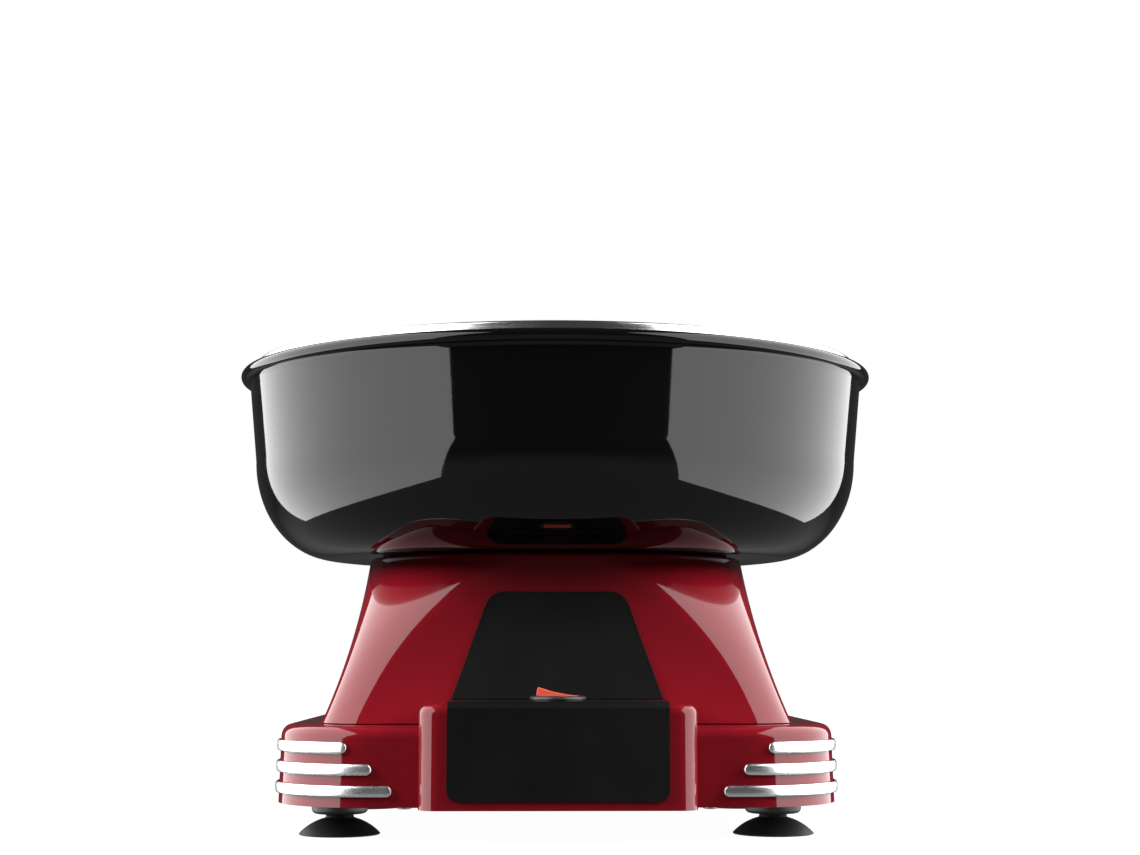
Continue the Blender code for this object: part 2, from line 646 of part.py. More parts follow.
def make_fittings(body):
    """Cord inlet bushing, terminal block, cover screws and the inside wiring."""
    wall_out = BASE_HALF_Y
    bushing = turned([(3.2 * MM, -9 * MM), (5.2 * MM, -9 * MM), (5.2 * MM, 0.5 * MM),
                      (8 * MM, 0.5 * MM), (8 * MM, 2 * MM), (6.8 * MM, 3.4 * MM),
                      (3.2 * MM, 3.4 * MM)], SMALL_ROUND)
    bmesh.ops.rotate(bushing, verts=bushing.verts, matrix=Matrix.Rotation(-math.pi / 2, 3, "X"))
    add_object("cord_inlet", bushing, "rubber", body, (0, wall_out + 0.2 * MM, INLET_Z))

    block_rings = [square_ring(15 * MM, 7 * MM, 1 * MM, z) for z in (0, 11 * MM)]
    block = add_object("terminal_block", loft(block_rings), "ceramic", body,
                       (0, 84 * MM, BASE_BOTTOM + 2.8 * MM))
    wells = scatter(lambda: rod(1.8 * MM, 5 * MM, 14 * MM, 8),
                    [(x * MM, 0, 0) for x in (-10, 0, 10)])
    combine(block, "DIFFERENCE", helper("terminal_wells", wells,
                                        (0, 84 * MM, BASE_BOTTOM + 2.8 * MM)))

    first = None
    for i, place in enumerate(COVER_SCREWS):
        spot = (place[0], place[1], BASE_BOTTOM - 1.9 * MM)
        if first is None:
            first = add_object("cover_screw_1", screw_mesh(1.5 * MM, 3.2 * MM, 1.7 * MM, 12 * MM),
                               "zinc", body, spot)
        else:
            add_copy(first, "cover_screw_%d" % (i + 1), spot)

    routes = {
        "wire_inlet": [(0, 108, 30), (1, 102, 30), (7, 96.5, 27), (10, 93.8, 22)],
        "wire_switch": [(-10, 75, 22), (-22, 60, 26), (-48, 30, 30), (-50, -20, 30),
                        (-40, -70, 32), (-16, -100, 33), (-4, -112, 34), (-2, -114, 37)],
        "wire_heater": [(10, 75, 22), (30, 64, 34), (60, 32, 60), (69, 14, 88), (66, 8, 104),
                        (50, 4, 106.5), (33, 1, 106.5)],
    }
    for name, points in routes.items():
        curve = bpy.data.curves.new(name, "CURVE")
        curve.dimensions = "3D"
        curve.bevel_depth = 1.3 * MM
        curve.bevel_resolution = 1
        curve.use_fill_caps = True
        curve.resolution_u = 2
        spline = curve.splines.new("BEZIER")
        spline.bezier_points.add(len(points) - 1)
        for knot, point in zip(spline.bezier_points, points):
            knot.co = Vector(point) * MM
            knot.handle_left_type = "AUTO"
            knot.handle_right_type = "AUTO"
        curve.materials.append(material("wire_cover"))
        wire = bpy.data.objects.new(name, curve)
        wire.parent = body
        bpy.context.collection.objects.link(wire)


# ---------------------------------------------------------------- bowl

def make_bowl(body):
    foot_z = BOWL_BOTTOM + BOWL_RISE
    bead_center = BOWL_RADIUS - BEAD_RADIUS
    shell = [(BOWL_HOLE, BOWL_BOTTOM)]
    shell += arc(BOWL_FLAT, foot_z, BOWL_CURVE, -90, 0, 5, BOWL_RISE)
    shell += [(BOWL_WALL_TOP, BEAD_Z - 3 * MM)]
    shell += arc(bead_center, BEAD_Z, BEAD_RADIUS, -118, 90, 5)
    shell += [(BOWL_WALL_TOP - BOWL_WALL + 0.8 * MM, BEAD_Z + BEAD_RADIUS),
              (BOWL_WALL_TOP - BOWL_WALL, BEAD_Z + BEAD_RADIUS - 0.8 * MM),
              (BOWL_WALL_TOP - BOWL_WALL, BEAD_Z - 3 * MM)]
    shell += arc(BOWL_FLAT, foot_z, BOWL_CURVE - BOWL_WALL, 0, -90, 4, BOWL_RISE - BOWL_WALL)
    shell += [(BOWL_HOLE, BOWL_BOTTOM + BOWL_WALL)]
    add_object("bowl_shell", turned(shell, ROUND), "black_gloss", body)

    outer_curve = BOWL_CURVE - BOWL_WALL - LINER_GAP
    outer_rise = BOWL_RISE - BOWL_WALL - LINER_GAP
    inner_curve, inner_rise = outer_curve - LINER_WALL, outer_rise - LINER_WALL
    collar = BOWL_HOLE + 1 * MM
    hem = 1 * MM
    liner = [(collar, LINER_COLLAR_TOP), (collar, foot_z - outer_rise)]
    liner += arc(BOWL_FLAT, foot_z, outer_curve, -90, 0, 4, outer_rise)
    liner += [(LIP_RADIUS, BEAD_Z - 2 * MM)]
    liner += arc(LIP_RADIUS - hem, LIP_TOP - hem, hem, 0, 180, 2)
    liner += [(LIP_RADIUS - 2 * hem, LIP_TOP - 3 * hem),
              (LIP_RADIUS - LINER_WALL, LIP_TOP - 4 * hem),
              (LIP_RADIUS - LINER_WALL, BEAD_Z - 2 * MM)]
    liner += arc(BOWL_FLAT, foot_z, inner_curve, 0, -90, 4, inner_rise)
    liner += [(collar + LINER_WALL, foot_z - inner_rise), (collar + LINER_WALL, LINER_COLLAR_TOP)]
    add_object("bowl_liner", turned(liner, ROUND), "steel", body)


# ---------------------------------------------------------------- motor, heater and head

def make_motor(body, rotor):
    bolt_places = [(x, x, 0) for x in (-MOTOR_BOLT_PLACE, MOTOR_BOLT_PLACE)]

    def square_plate(name, hole, bottom, top, finish):
        rings = [square_ring(STATOR_HALF, STATOR_HALF, 6 * MM, bottom),
                 square_ring(STATOR_HALF, STATOR_HALF, 6 * MM, top),
                 circle_ring(hole, top), circle_ring(hole, bottom)]
        made = add_object(name, loft(rings, closed=True), finish, body)
        holes = scatter(lambda: rod(2.2 * MM, bottom - 5 * MM, top + 5 * MM, 8), bolt_places)
        combine(made, "DIFFERENCE", helper(name + "_holes", holes))

    square_plate("motor_stator", STATOR_BORE, 66 * MM, 90 * MM, "lamination")
    square_plate("motor_plate_lower", 8.1 * MM, 55.5 * MM, 58 * MM, "zinc")
    square_plate("motor_plate_upper", 8.1 * MM, 96 * MM, 98.2 * MM, "zinc")
    for name, bottom, top in (("winding_lower", 59 * MM, 65.6 * MM),
                              ("winding_upper", 90.4 * MM, 95.6 * MM)):
        edge = 1.5 * MM
        ring = [(22.5 * MM, bottom), (28.5 * MM, bottom), (30 * MM, bottom + edge),
                (30 * MM, top - edge), (28.5 * MM, top), (22.5 * MM, top)]
        add_object(name, turned(ring, SMALL_ROUND), "copper", body)
    for name, bottom in (("bearing_lower", 54.5 * MM), ("bearing_upper", 94.8 * MM)):
        add_object(name, tube(SHAFT_RADIUS + RUNNING_GAP, 8 * MM, bottom, bottom + 4.6 * MM),
                   "bronze", body)
    bolt = screw_mesh(1.8 * MM, 3.4 * MM, 2.2 * MM, 48 * MM)
    bmesh.ops.rotate(bolt, verts=bolt.verts, matrix=Matrix.Rotation(math.pi, 3, "X"))
    bolt_top = BRACKET_Z + BRACKET_THICK + GAP + 2.2 * MM
    first = None
    for i, place in enumerate(bolt_places):
        spot = (place[0], place[1], bolt_top)
        if first is None:
            first = add_object("motor_bolt_1", bolt, "zinc", body, spot)
        else:
            add_copy(first, "motor_bolt_%d" % (i + 1), spot)

    bracket = add_object("motor_bracket", tube(12 * MM, BRACKET_RADIUS, BRACKET_Z,
                                               BRACKET_Z + BRACKET_THICK, MID_ROUND), "zinc", body)
    screw_places = round_places(BRACKET_SCREW_CIRCLE, 3, math.pi / 2)
    holes = scatter(lambda: rod(2.2 * MM, BRACKET_Z - 5 * MM, BRACKET_Z + 5 * MM, 8),
                    bolt_places + screw_places)
    combine(bracket, "DIFFERENCE", helper("bracket_holes", holes))
    first = None
    for i, place in enumerate(screw_places):
        spot = (place[0], place[1], BRACKET_Z - GAP - 1.8 * MM)
        if first is None:
            first = add_object("bracket_screw_1",
                               screw_mesh(1.5 * MM, 3.2 * MM, 1.8 * MM, 10 * MM),
                               "zinc", body, spot)
        else:
            add_copy(first, "bracket_screw_%d" % (i + 1), spot)

    bore = SHAFT_RADIUS + RUNNING_GAP
    add_object("motor_shaft", rod(SHAFT_RADIUS, SHAFT_BOTTOM, SHAFT_TOP, edge=0.6 * MM),
               "steel", rotor)
    add_object("armature", tube(bore, STATOR_BORE - 0.5 * MM, 65 * MM, 91 * MM, ROUND),
               "lamination", rotor)
    fan = add_object("cooling_fan", tube(bore, 7 * MM, 38 * MM, 50 * MM), "dark_plastic", rotor)
    blades = [box((23 * MM, 1.4 * MM, 11 * MM), (17.5 * MM, 0, 44 * MM), math.radians(38),
                  2 * math.pi * i / FAN_BLADES) for i in range(FAN_BLADES)]
    combine(fan, "UNION", helper("fan_blades", gather(blades)))
    hub = [(bore, 120 * MM), (6 * MM, 120 * MM), (6 * MM, 127 * MM), (10 * MM, 129 * MM),
           (10 * MM, HEAD_BOTTOM - 0.4 * MM), (bore, HEAD_BOTTOM - 0.4 * MM)]
    add_object("drive_hub", turned(hub, SMALL_ROUND), "dark_plastic", rotor)


def make_heater(body):
    sheet = 1 * MM
    well = WELL_RADIUS - 1.2 * MM
    flange = NECK_TOP + GAP
    pan = [(7 * MM, PAN_FLOOR), (well, PAN_FLOOR), (well, flange), (PAN_RADIUS, flange),
           (PAN_RADIUS, PAN_TOP), (PAN_RADIUS - sheet, PAN_TOP), (PAN_RADIUS - sheet, flange + sheet),
           (well - sheet, flange + sheet), (well - sheet, PAN_FLOOR + sheet),
           (7 * MM, PAN_FLOOR + sheet)]
    add_object("heater_pan", turned(pan, MID_ROUND), "steel", body)
    seal_bottom = NECK_TOP - SEAL_GROOVE + GAP
    seal = [(SEAL_INNER, seal_bottom), (SEAL_OUTER, seal_bottom),
            (SEAL_OUTER, BOWL_BOTTOM - GAP), (SEAL_INNER, BOWL_BOTTOM - GAP)]
    add_object("bowl_seal", turned(seal, MID_ROUND), "rubber", body)

    curve = bpy.data.curves.new("heater_element", "CURVE")
    curve.dimensions = "3D"
    curve.bevel_depth = 3.2 * MM
    curve.bevel_resolution = 2
    curve.use_fill_caps = True
    spline = curve.splines.new("POLY")
    steps = 24
    spline.points.add(steps)
    for i, knot in enumerate(spline.points):
        a = math.radians(20 + 320 * i / steps)
        knot.co = (HEATER_RING * math.sin(a), -HEATER_RING * math.cos(a), HEATER_Z, 1)
    curve.materials.append(material("heater_metal"))
    element = bpy.data.objects.new("heater_element", curve)
    element.parent = body
    bpy.context.collection.objects.link(element)

    post_top = HEATER_Z - 3.2 * MM - GAP
    for i, place in enumerate(round_places(HEATER_RING, 3, math.pi / 6)):
        add_object("heater_post_%d" % (i + 1),
                   rod(3.4 * MM, PAN_FLOOR + sheet + GAP, post_top, 16, edge=0.5 * MM),
                   "ceramic", body, place)
    add_object("thermal_cutout", rod(7.5 * MM, 103.2 * MM, PAN_FLOOR - GAP, 16, edge=0.6 * MM),
               "steel", body, (23 * MM, 0, 0))


def make_head(body):
    """The spinning head: a dish for the sugar, a slotted band and a cover with a filling hole."""
    post = SHAFT_RADIUS + GAP
    wall = 39.2 * MM
    dish = [(post, HEAD_BOTTOM), (12 * MM, HEAD_BOTTOM), (14 * MM, HEAD_BOTTOM + 1.4 * MM),
            (36 * MM, HEAD_BOTTOM + 3.7 * MM), (wall + 1.3 * MM, HEAD_BOTTOM + 10.2 * MM),
            (wall, HEAD_BOTTOM + 11 * MM), (35.4 * MM, HEAD_BOTTOM + 5.1 * MM),
            (14 * MM, HEAD_BOTTOM + 2.8 * MM), (7 * MM, HEAD_BOTTOM + 2.4 * MM),
            (7 * MM, HEAD_BOTTOM + 10.7 * MM), (post, HEAD_BOTTOM + 10.7 * MM)]
    add_object("head_dish", turned(dish, MID_ROUND), "aluminium", body)

    band_bottom = HEAD_BOTTOM + 11.3 * MM
    band_top = band_bottom + 13 * MM
    band = add_object("head_band", tube(wall - 0.2 * MM, wall + 1.2 * MM, band_bottom, band_top,
                                        MID_ROUND), "steel", body)
    slots = [box((8 * MM, 5 * MM, 8.4 * MM), (wall, 0, (band_bottom + band_top) / 2 - 0.4 * MM),
                 turn=2 * math.pi * (i + 0.5) / HEAD_SLOTS) for i in range(HEAD_SLOTS)]
    combine(band, "DIFFERENCE", helper("band_slots", gather(slots)))

    top = band_top + GAP
    cover = [(HEAD_HOLE, top + 7.7 * MM), (HEAD_HOLE, top + 6.3 * MM), (29.5 * MM, top + 4.7 * MM),
             (37.2 * MM, top + 1.8 * MM), (38.8 * MM, top), (wall + 1.5 * MM, top),
             (wall + 1.5 * MM, top - 3 * MM), (HEAD_RADIUS, top - 3 * MM),
             (HEAD_RADIUS, top + 0.5 * MM), (39.5 * MM, top + 3.1 * MM), (30.5 * MM, top + 6.3 * MM)]
    add_object("head_cover", turned(cover, MID_ROUND), "aluminium", body)


clear_scene()
base_body = body_frame("base")
bowl_body = body_frame("bowl")
rotor_body = body_frame("rotor")
head_body = body_frame("head")
rocker_frame = body_frame("rocker", (0, SWITCH_Y, ROCKER_PIVOT_Z))
make_lower_housing(base_body)
make_upper_housing(base_body)
make_bottom_cover(base_body)
make_panels(base_body)
make_strips(base_body)
make_feet(base_body)
make_switch(base_body, rocker_frame)
make_fittings(base_body)
make_bowl(bowl_body)
make_motor(base_body, rotor_body)
make_heater(base_body)
make_head(head_body)
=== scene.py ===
"""Looks of the table-top cotton candy machine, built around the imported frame. Metres, +Z up.

The moulded, turned and bent pieces are rebuilt here with fine curves. The inner pieces keep their
CAD shape and get a finish of their own."""

import json
import math

import bmesh
import bpy
from mathutils import Matrix, Quaternion, Vector


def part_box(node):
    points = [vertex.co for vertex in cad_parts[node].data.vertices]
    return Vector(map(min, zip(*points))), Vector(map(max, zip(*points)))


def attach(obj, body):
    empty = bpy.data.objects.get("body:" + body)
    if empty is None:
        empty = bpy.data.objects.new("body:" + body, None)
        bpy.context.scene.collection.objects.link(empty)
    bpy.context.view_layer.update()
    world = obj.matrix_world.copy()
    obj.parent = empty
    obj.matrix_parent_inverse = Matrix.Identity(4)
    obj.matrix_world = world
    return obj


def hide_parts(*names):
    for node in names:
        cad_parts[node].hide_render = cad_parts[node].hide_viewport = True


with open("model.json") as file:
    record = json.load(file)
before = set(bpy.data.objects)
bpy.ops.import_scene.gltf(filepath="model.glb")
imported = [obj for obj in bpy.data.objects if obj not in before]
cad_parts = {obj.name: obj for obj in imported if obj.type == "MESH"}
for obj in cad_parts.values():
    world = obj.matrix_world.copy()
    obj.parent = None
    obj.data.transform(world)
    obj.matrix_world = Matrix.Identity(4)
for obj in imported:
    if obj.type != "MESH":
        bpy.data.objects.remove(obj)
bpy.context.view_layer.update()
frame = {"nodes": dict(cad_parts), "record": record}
MM = 0.001
GAP = 0.3 * MM


def low(node):
    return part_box(node)[0]


def high(node):
    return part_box(node)[1]


# ---------------- sizes

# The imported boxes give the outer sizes, and the others repeat the CAD model's dimensions.

WALL = 2.4 * MM  # thickness of the moulded housings
LEAN = 0.4 * MM  # how far a wall of the base leans from its middle height
BASE_HALF_X = high("lower_housing").x - LEAN
BASE_HALF_Y = high("lower_housing").y - LEAN
BASE_CORNER = 40 * MM
BASE_BOTTOM = 14 * MM
BASE_TOP = low("upper_housing").z - GAP
BASE_EDGE = 5 * MM
BLOCK_HALF_X = 55 * MM
BLOCK_FRONT = low("lower_housing").y
BLOCK_BACK = -90 * MM
BLOCK_TOP = high("lower_housing").z
BLOCK_CORNER = 8 * MM
BLOCK_EDGE = 4 * MM

NECK_HALF = high("upper_housing").x
NECK_CORNER = 18 * MM
NECK_BOTTOM = low("upper_housing").z
NECK_TOP = high("upper_housing").z
NECK_ROUND_Z = NECK_TOP - 2 * MM
SEAL_INNER = 70 * MM
SEAL_OUTER = 79 * MM
SEAL_GROOVE = 0.9 * MM  # the seal lies in it, on top of the neck
NECK_TOP_HALF = 84 * MM
NECK_TOP_CORNER = 70 * MM
NECK_HOLLOW = 2.0  # how much the sides curve inward on the way up
NECK_OPENING = 2.3  # how late the corners open out on the way up
SEAL_PLAY = 1 * MM  # between the seal and its groove's walls
WELL_RADIUS = 40 * MM

PANEL_HALF_X = high("front_panel").x
PANEL_BOTTOM = low("front_panel").z
LEDGE_TOP = high("front_panel").z
LEDGE_BACK = high("front_panel").y
PANEL_FRONT = low("front_panel").y
PANEL_THICK = 0.8 * MM
PANEL_CORNER = 4.5 * MM
PANEL_FOLD = 3 * MM
SLOPE_TOP = high("slope_panel").z
SLOPE_HALF_TOP = 28 * MM
SLOPE_CORNER = 5.5 * MM

BOWL_RADIUS = high("bowl_shell").x
BOWL_BOTTOM = low("bowl_shell").z
BOWL_FLAT = 102 * MM
BOWL_CURVE = 35.5 * MM
BOWL_RISE = 44 * MM
BOWL_WALL_TOP = 140.8 * MM
BOWL_WALL = 2.2 * MM
BOWL_HOLE = 48 * MM
BEAD_RADIUS = 2.6 * MM
BEAD_Z = high("bowl_shell").z - BEAD_RADIUS
LINER_WALL = 0.8 * MM
LIP_TOP = high("bowl_liner").z
LIP_RADIUS = high("bowl_liner").x

SWITCH_PLACE = Vector((0, (low("switch_body").y + high("switch_body").y) / 2, 0))
SWITCH_FLANGE = (high("switch_body").x - low("switch_body").x) / 2
SWITCH_TOP = high("switch_body").z
SWITCH_BARREL = 10.6 * MM
SWITCH_HOLE = SWITCH_BARREL + GAP
ROCKER_REACH = 8.6 * MM  # from the pivot to either end
ROCKER_HALF_Y = 3.8 * MM
ROCKER_PIVOT_Z = SWITCH_TOP - 0.1 * MM
ROCKER_TILT = 12  # degrees either side of level
ROCKER_HOLLOW = 0.6 * MM  # how deep its top curves in

CORD_Z = 30 * MM
CORD_HOLE = 5.6 * MM
COVER_SCREW_X = 62 * MM
COVER_SCREW_Y = 100 * MM
COVER_SCREW_HOLE = 1.9 * MM
VENT_ROWS = 7
VENT_PITCH = 11 * MM
VENT_REACH = 44 * MM  # radius of the circle that the vent slots fill
VENT_HALF_WIDTH = 1.8 * MM
VENT_RIB = 3.5 * MM  # half of the rib between the front and the rear slots
VENT_MARGIN = 1.5 * MM  # from a slot's outer end to the circle
HEAD_SLOTS = 12

FOOT_PLACES = {side: (low("suction_foot_" + side) + high("suction_foot_" + side)) / 2
               for side in ("front_left", "front_right", "rear_left", "rear_right")}

ROUND = 192  # segments of the bowl
SIDE_STEPS = 6
CORNER_STEPS = 20


# ---------------- mesh tools

def arc(center_r, center_z, radius, start, end, steps, rise=None):
    """Points of an arc in the r-z plane, angles in degrees from the +r direction.

    With a rise the arc belongs to an ellipse that is radius wide and rise high.
    """
    rise = rise or radius
    turn = [math.radians(start + (end - start) * i / steps) for i in range(steps + 1)]
    return [(center_r + radius * math.cos(a), center_z + rise * math.sin(a)) for a in turn]


def turned(outline, segments=96, on_axis=False):
    """A closed r-z outline spun about Z. With on_axis it starts and ends on the axis."""
    bm = bmesh.new()
    points = [bm.verts.new((r, 0, z)) for r, z in outline]
    edges = [bm.edges.new(pair) for pair in zip(points, points[1:])]
    if not on_axis:
        edges.append(bm.edges.new((points[-1], points[0])))
    bmesh.ops.spin(bm, geom=points + edges, cent=(0, 0, 0), axis=(0, 0, 1), angle=2 * math.pi,
                   steps=segments, use_duplicate=False)
    return bm


def cylinder(radius, bottom, top, segments=48):
    """A solid cylinder about Z."""
    return turned([(0, bottom), (radius, bottom), (radius, top), (0, top)], segments, True)


def square_ring(half_x, half_y, corner, z, center_y=0.0):
    """A rounded rectangle, counterclockwise from above, from the left of its front side."""
    ring = []
    reach = ((half_x, half_y), (half_y, half_x), (half_x, half_y), (half_y, half_x))
    for quarter, (along, out) in enumerate(reach):
        spin = Matrix.Rotation(quarter * math.pi / 2, 3, "Z")
        flat = along - corner
        for i in range(SIDE_STEPS):
            ring.append(spin @ Vector((flat * (2 * i / SIDE_STEPS - 1), -out, 0)))
        for i in range(CORNER_STEPS):
            a = math.pi / 2 * i / CORNER_STEPS
            ring.append(spin @ Vector((flat + corner * math.sin(a),
                                       corner * (1 - math.cos(a)) - out, 0)))
    return [Vector((p.x, p.y + center_y, z)) for p in ring]


def circle_ring(radius, z, flat_angle):
    """A circle whose points face those of square_ring."""
    ring = []
    for quarter in range(4):
        middle = quarter * math.pi / 2
        for i in range(SIDE_STEPS):
            ring.append(middle + flat_angle * (2 * i / SIDE_STEPS - 1))
        for i in range(CORNER_STEPS):
            ring.append(middle + flat_angle + (math.pi / 2 - 2 * flat_angle) * i / CORNER_STEPS)
    return [Vector((radius * math.sin(a), -radius * math.cos(a), z)) for a in ring]


def loft(rings, closed=False):
    """Faces between one ring and the next; the ends are capped, or joined when closed."""
    bm = bmesh.new()
    loops = [[bm.verts.new(p) for p in ring] for ring in rings]
    pairs = list(zip(loops, loops[1:]))
    if closed:
        pairs.append((loops[-1], loops[0]))
    for lower, upper in pairs:
        for i in range(len(lower)):
            j = (i + 1) % len(lower)
            bm.faces.new((lower[i], lower[j], upper[j], upper[i]))
    if not closed:
        bm.faces.new(list(reversed(loops[0])))
        bm.faces.new(loops[-1])
    return bm


def plate(outer, inner):
    """A thin closed sheet between two grids of points of the same size."""
    bm = bmesh.new()
    front = [[bm.verts.new(p) for p in row] for row in outer]
    back = [[bm.verts.new(p) for p in row] for row in inner]
    rows, columns = len(front), len(front[0])
    for i in range(rows - 1):
        for j in range(columns - 1):
            bm.faces.new((front[i][j], front[i][j + 1], front[i + 1][j + 1], front[i + 1][j]))
            bm.faces.new((back[i][j], back[i + 1][j], back[i + 1][j + 1], back[i][j + 1]))
    for i in range(rows - 1):
        for j in (0, columns - 1):
            bm.faces.new((front[i][j], front[i + 1][j], back[i + 1][j], back[i][j]))
    for j in range(columns - 1):
        for i in (0, rows - 1):
            bm.faces.new((front[i][j], front[i][j + 1], back[i][j + 1], back[i][j]))
    return bm


def gather(parts):
    """One bmesh that holds all of these."""
    whole = bmesh.new()
    for part in parts:
        mesh = bpy.data.meshes.new("gathered")
        part.to_mesh(mesh)
        part.free()
        whole.from_mesh(mesh)
        bpy.data.meshes.remove(mesh)
    return whole


def moved(bm, place, turn=None):
    """The same bmesh, turned about its origin and then moved."""
    if turn:
        bmesh.ops.rotate(bm, verts=bm.verts, matrix=turn)
    bmesh.ops.translate(bm, verts=bm.verts, vec=place)
    return bm


def box(size):
    """A cuboid about the origin."""
    made = bmesh.new()
    bmesh.ops.create_cube(made, size=1)
    bmesh.ops.scale(made, verts=made.verts, vec=size)
    return made


def long_slot(x, middle, half, radius, bottom, top):
    """A slot with round ends that runs along Y, as a cutter from bottom to top."""
    steps = 24
    outline = []
    for i in range(steps):
        a = 2 * math.pi * (i + 0.5) / steps
        end = math.copysign(half - radius, math.sin(a))
        outline.append((x + radius * math.cos(a), middle + end + radius * math.sin(a)))
    return loft([[Vector((*point, z)) for point in outline] for z in (bottom, top)])


def new_object(name, bm):
    """A scene object from a bmesh, with its doubles merged and its normals outward."""
    bmesh.ops.remove_doubles(bm, verts=bm.verts, dist=0.001 * MM)
    bmesh.ops.recalc_face_normals(bm, faces=bm.faces)
    mesh = bpy.data.meshes.new(name)
    bm.to_mesh(mesh)
    bm.free()
    thing = bpy.data.objects.new(name, mesh)
    bpy.context.scene.collection.objects.link(thing)
    return thing


def apply_modifiers(thing):
    """Keeps the evaluated mesh and drops the modifiers that made it."""
    depsgraph = bpy.context.evaluated_depsgraph_get()
    mesh = bpy.data.meshes.new_from_object(thing.evaluated_get(depsgraph))
    thing.modifiers.clear()
    thing.data = mesh


def combine(thing, operation, *parts):
    """Boolean with each bmesh in turn, applied at once."""
    for part in parts:
        cutter = new_object("cutter", part)
        step = thing.modifiers.new("cut", "BOOLEAN")
        step.operation = operation
        step.solver = "EXACT"
        step.object = cutter
        apply_modifiers(thing)
        bpy.data.objects.remove(cutter)


def soften(thing, width, segments=2, angle=35):
    """Rounds the sharp edges a little."""
    step = thing.modifiers.new("soften", "BEVEL")
    step.width = width
    step.segments = segments
    step.limit_method = "ANGLE"
    step.angle_limit = math.radians(angle)
    step.use_clamp_overlap = True
    step.harden_normals = False
    apply_modifiers(thing)


def finish_piece(thing, node, angle=35, weighted=False):
    """Shading, material, body and slot of a piece that stands for a CAD node."""
    thing.data.shade_smooth()
    thing.data.set_sharp_from_angle(angle=math.radians(angle))
    if weighted:
        step = thing.modifiers.new("normals", "WEIGHTED_NORMAL")
        step.keep_sharp = True
        step.weight = 80
    thing.data.materials.clear()
    thing.data.materials.append(MATERIALS[SLOTS[node]])
    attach(thing, BODY_OF[node])
    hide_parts(node)
    return thing


def fine(node, bm, **options):
    """The finished piece of a node, made from a bmesh."""
    return finish_piece(new_object(node + "_finished", bm), node, **options)


# ---------------- materials

DRIFT = 14  # noise scales, in marks for each metre
SMUDGES = 42
METAL_SMUDGES = 30
SCRATCHES = 380
BRUSHING = 900


def nodes_of(name):
    """A new material, with its nodes and links."""
    made = bpy.data.materials.new(name)
    made.use_nodes = True
    return made, made.node_tree.nodes, made.node_tree.links


def set_inputs(step, values):
    """Gives a shader node's inputs these values."""
    for name, value in values.items():
        step.inputs[name].default_value = value


def add_node(nodes, kind, values):
    """A new shader node with these input values."""
    step = nodes.new(kind)
    set_inputs(step, values)
    return step


def noise(nodes, links, scale, detail=4.0, stretch=(1, 1, 1), source=None, rough=0.55):
    """The factor of a noise texture, in object coordinates unless it has another source."""
    if source is None:
        coordinates = nodes.new("ShaderNodeTexCoord")
        source = coordinates.outputs["Object"]
    mapping = add_node(nodes, "ShaderNodeMapping", {"Scale": stretch})
    links.new(source, mapping.inputs["Vector"])
    texture = add_node(nodes, "ShaderNodeTexNoise",
                       {"Scale": scale, "Detail": detail, "Roughness": rough})
    links.new(mapping.outputs["Vector"], texture.inputs["Vector"])
    return texture.outputs["Fac"]


def spread(nodes, links, value, to_low, to_high, from_low=0.3, from_high=0.7):
    """Maps a factor to another range, clamped."""
    step = add_node(nodes, "ShaderNodeMapRange", {"From Min": from_low, "From Max": from_high,
                                                  "To Min": to_low, "To Max": to_high})
    links.new(value, step.inputs["Value"])
    return step.outputs["Result"]


def blend_color(nodes, links, value, first, second):
    """The first colour where the value is 0, the second where it is 1."""
    step = nodes.new("ShaderNodeMix")
    step.data_type = "RGBA"
    set_inputs(step, {"A": (*first, 1), "B": (*second, 1)})
    links.new(value, step.inputs["Factor"])
    return step.outputs["Result"]


def turned_coordinates(nodes, links):
    """Coordinates (radius, turn, height) for marks that run around the axis."""
    coordinates = nodes.new("ShaderNodeTexCoord")
    parts = nodes.new("ShaderNodeSeparateXYZ")
    links.new(coordinates.outputs["Object"], parts.inputs["Vector"])
    flat = nodes.new("ShaderNodeCombineXYZ")
    links.new(parts.outputs["X"], flat.inputs["X"])
    links.new(parts.outputs["Y"], flat.inputs["Y"])
    length = nodes.new("ShaderNodeVectorMath")
    length.operation = "LENGTH"
    links.new(flat.outputs["Vector"], length.inputs[0])
    turn = nodes.new("ShaderNodeMath")
    turn.operation = "ARCTAN2"
    links.new(parts.outputs["Y"], turn.inputs[0])
    links.new(parts.outputs["X"], turn.inputs[1])
    joined = nodes.new("ShaderNodeCombineXYZ")
    links.new(length.outputs["Value"], joined.inputs["X"])
    links.new(turn.outputs["Value"], joined.inputs["Y"])
    links.new(parts.outputs["Z"], joined.inputs["Z"])
    return joined.outputs["Vector"]


def bump(nodes, links, value, distance, below=None):
    """A normal raised by the value times the distance, on top of another bump if there is one."""
    step = add_node(nodes, "ShaderNodeBump", {"Distance": distance, "Strength": 1.0})
    links.new(value, step.inputs["Height"])
    if below:
        links.new(below, step.inputs["Normal"])
    return step.outputs["Normal"]


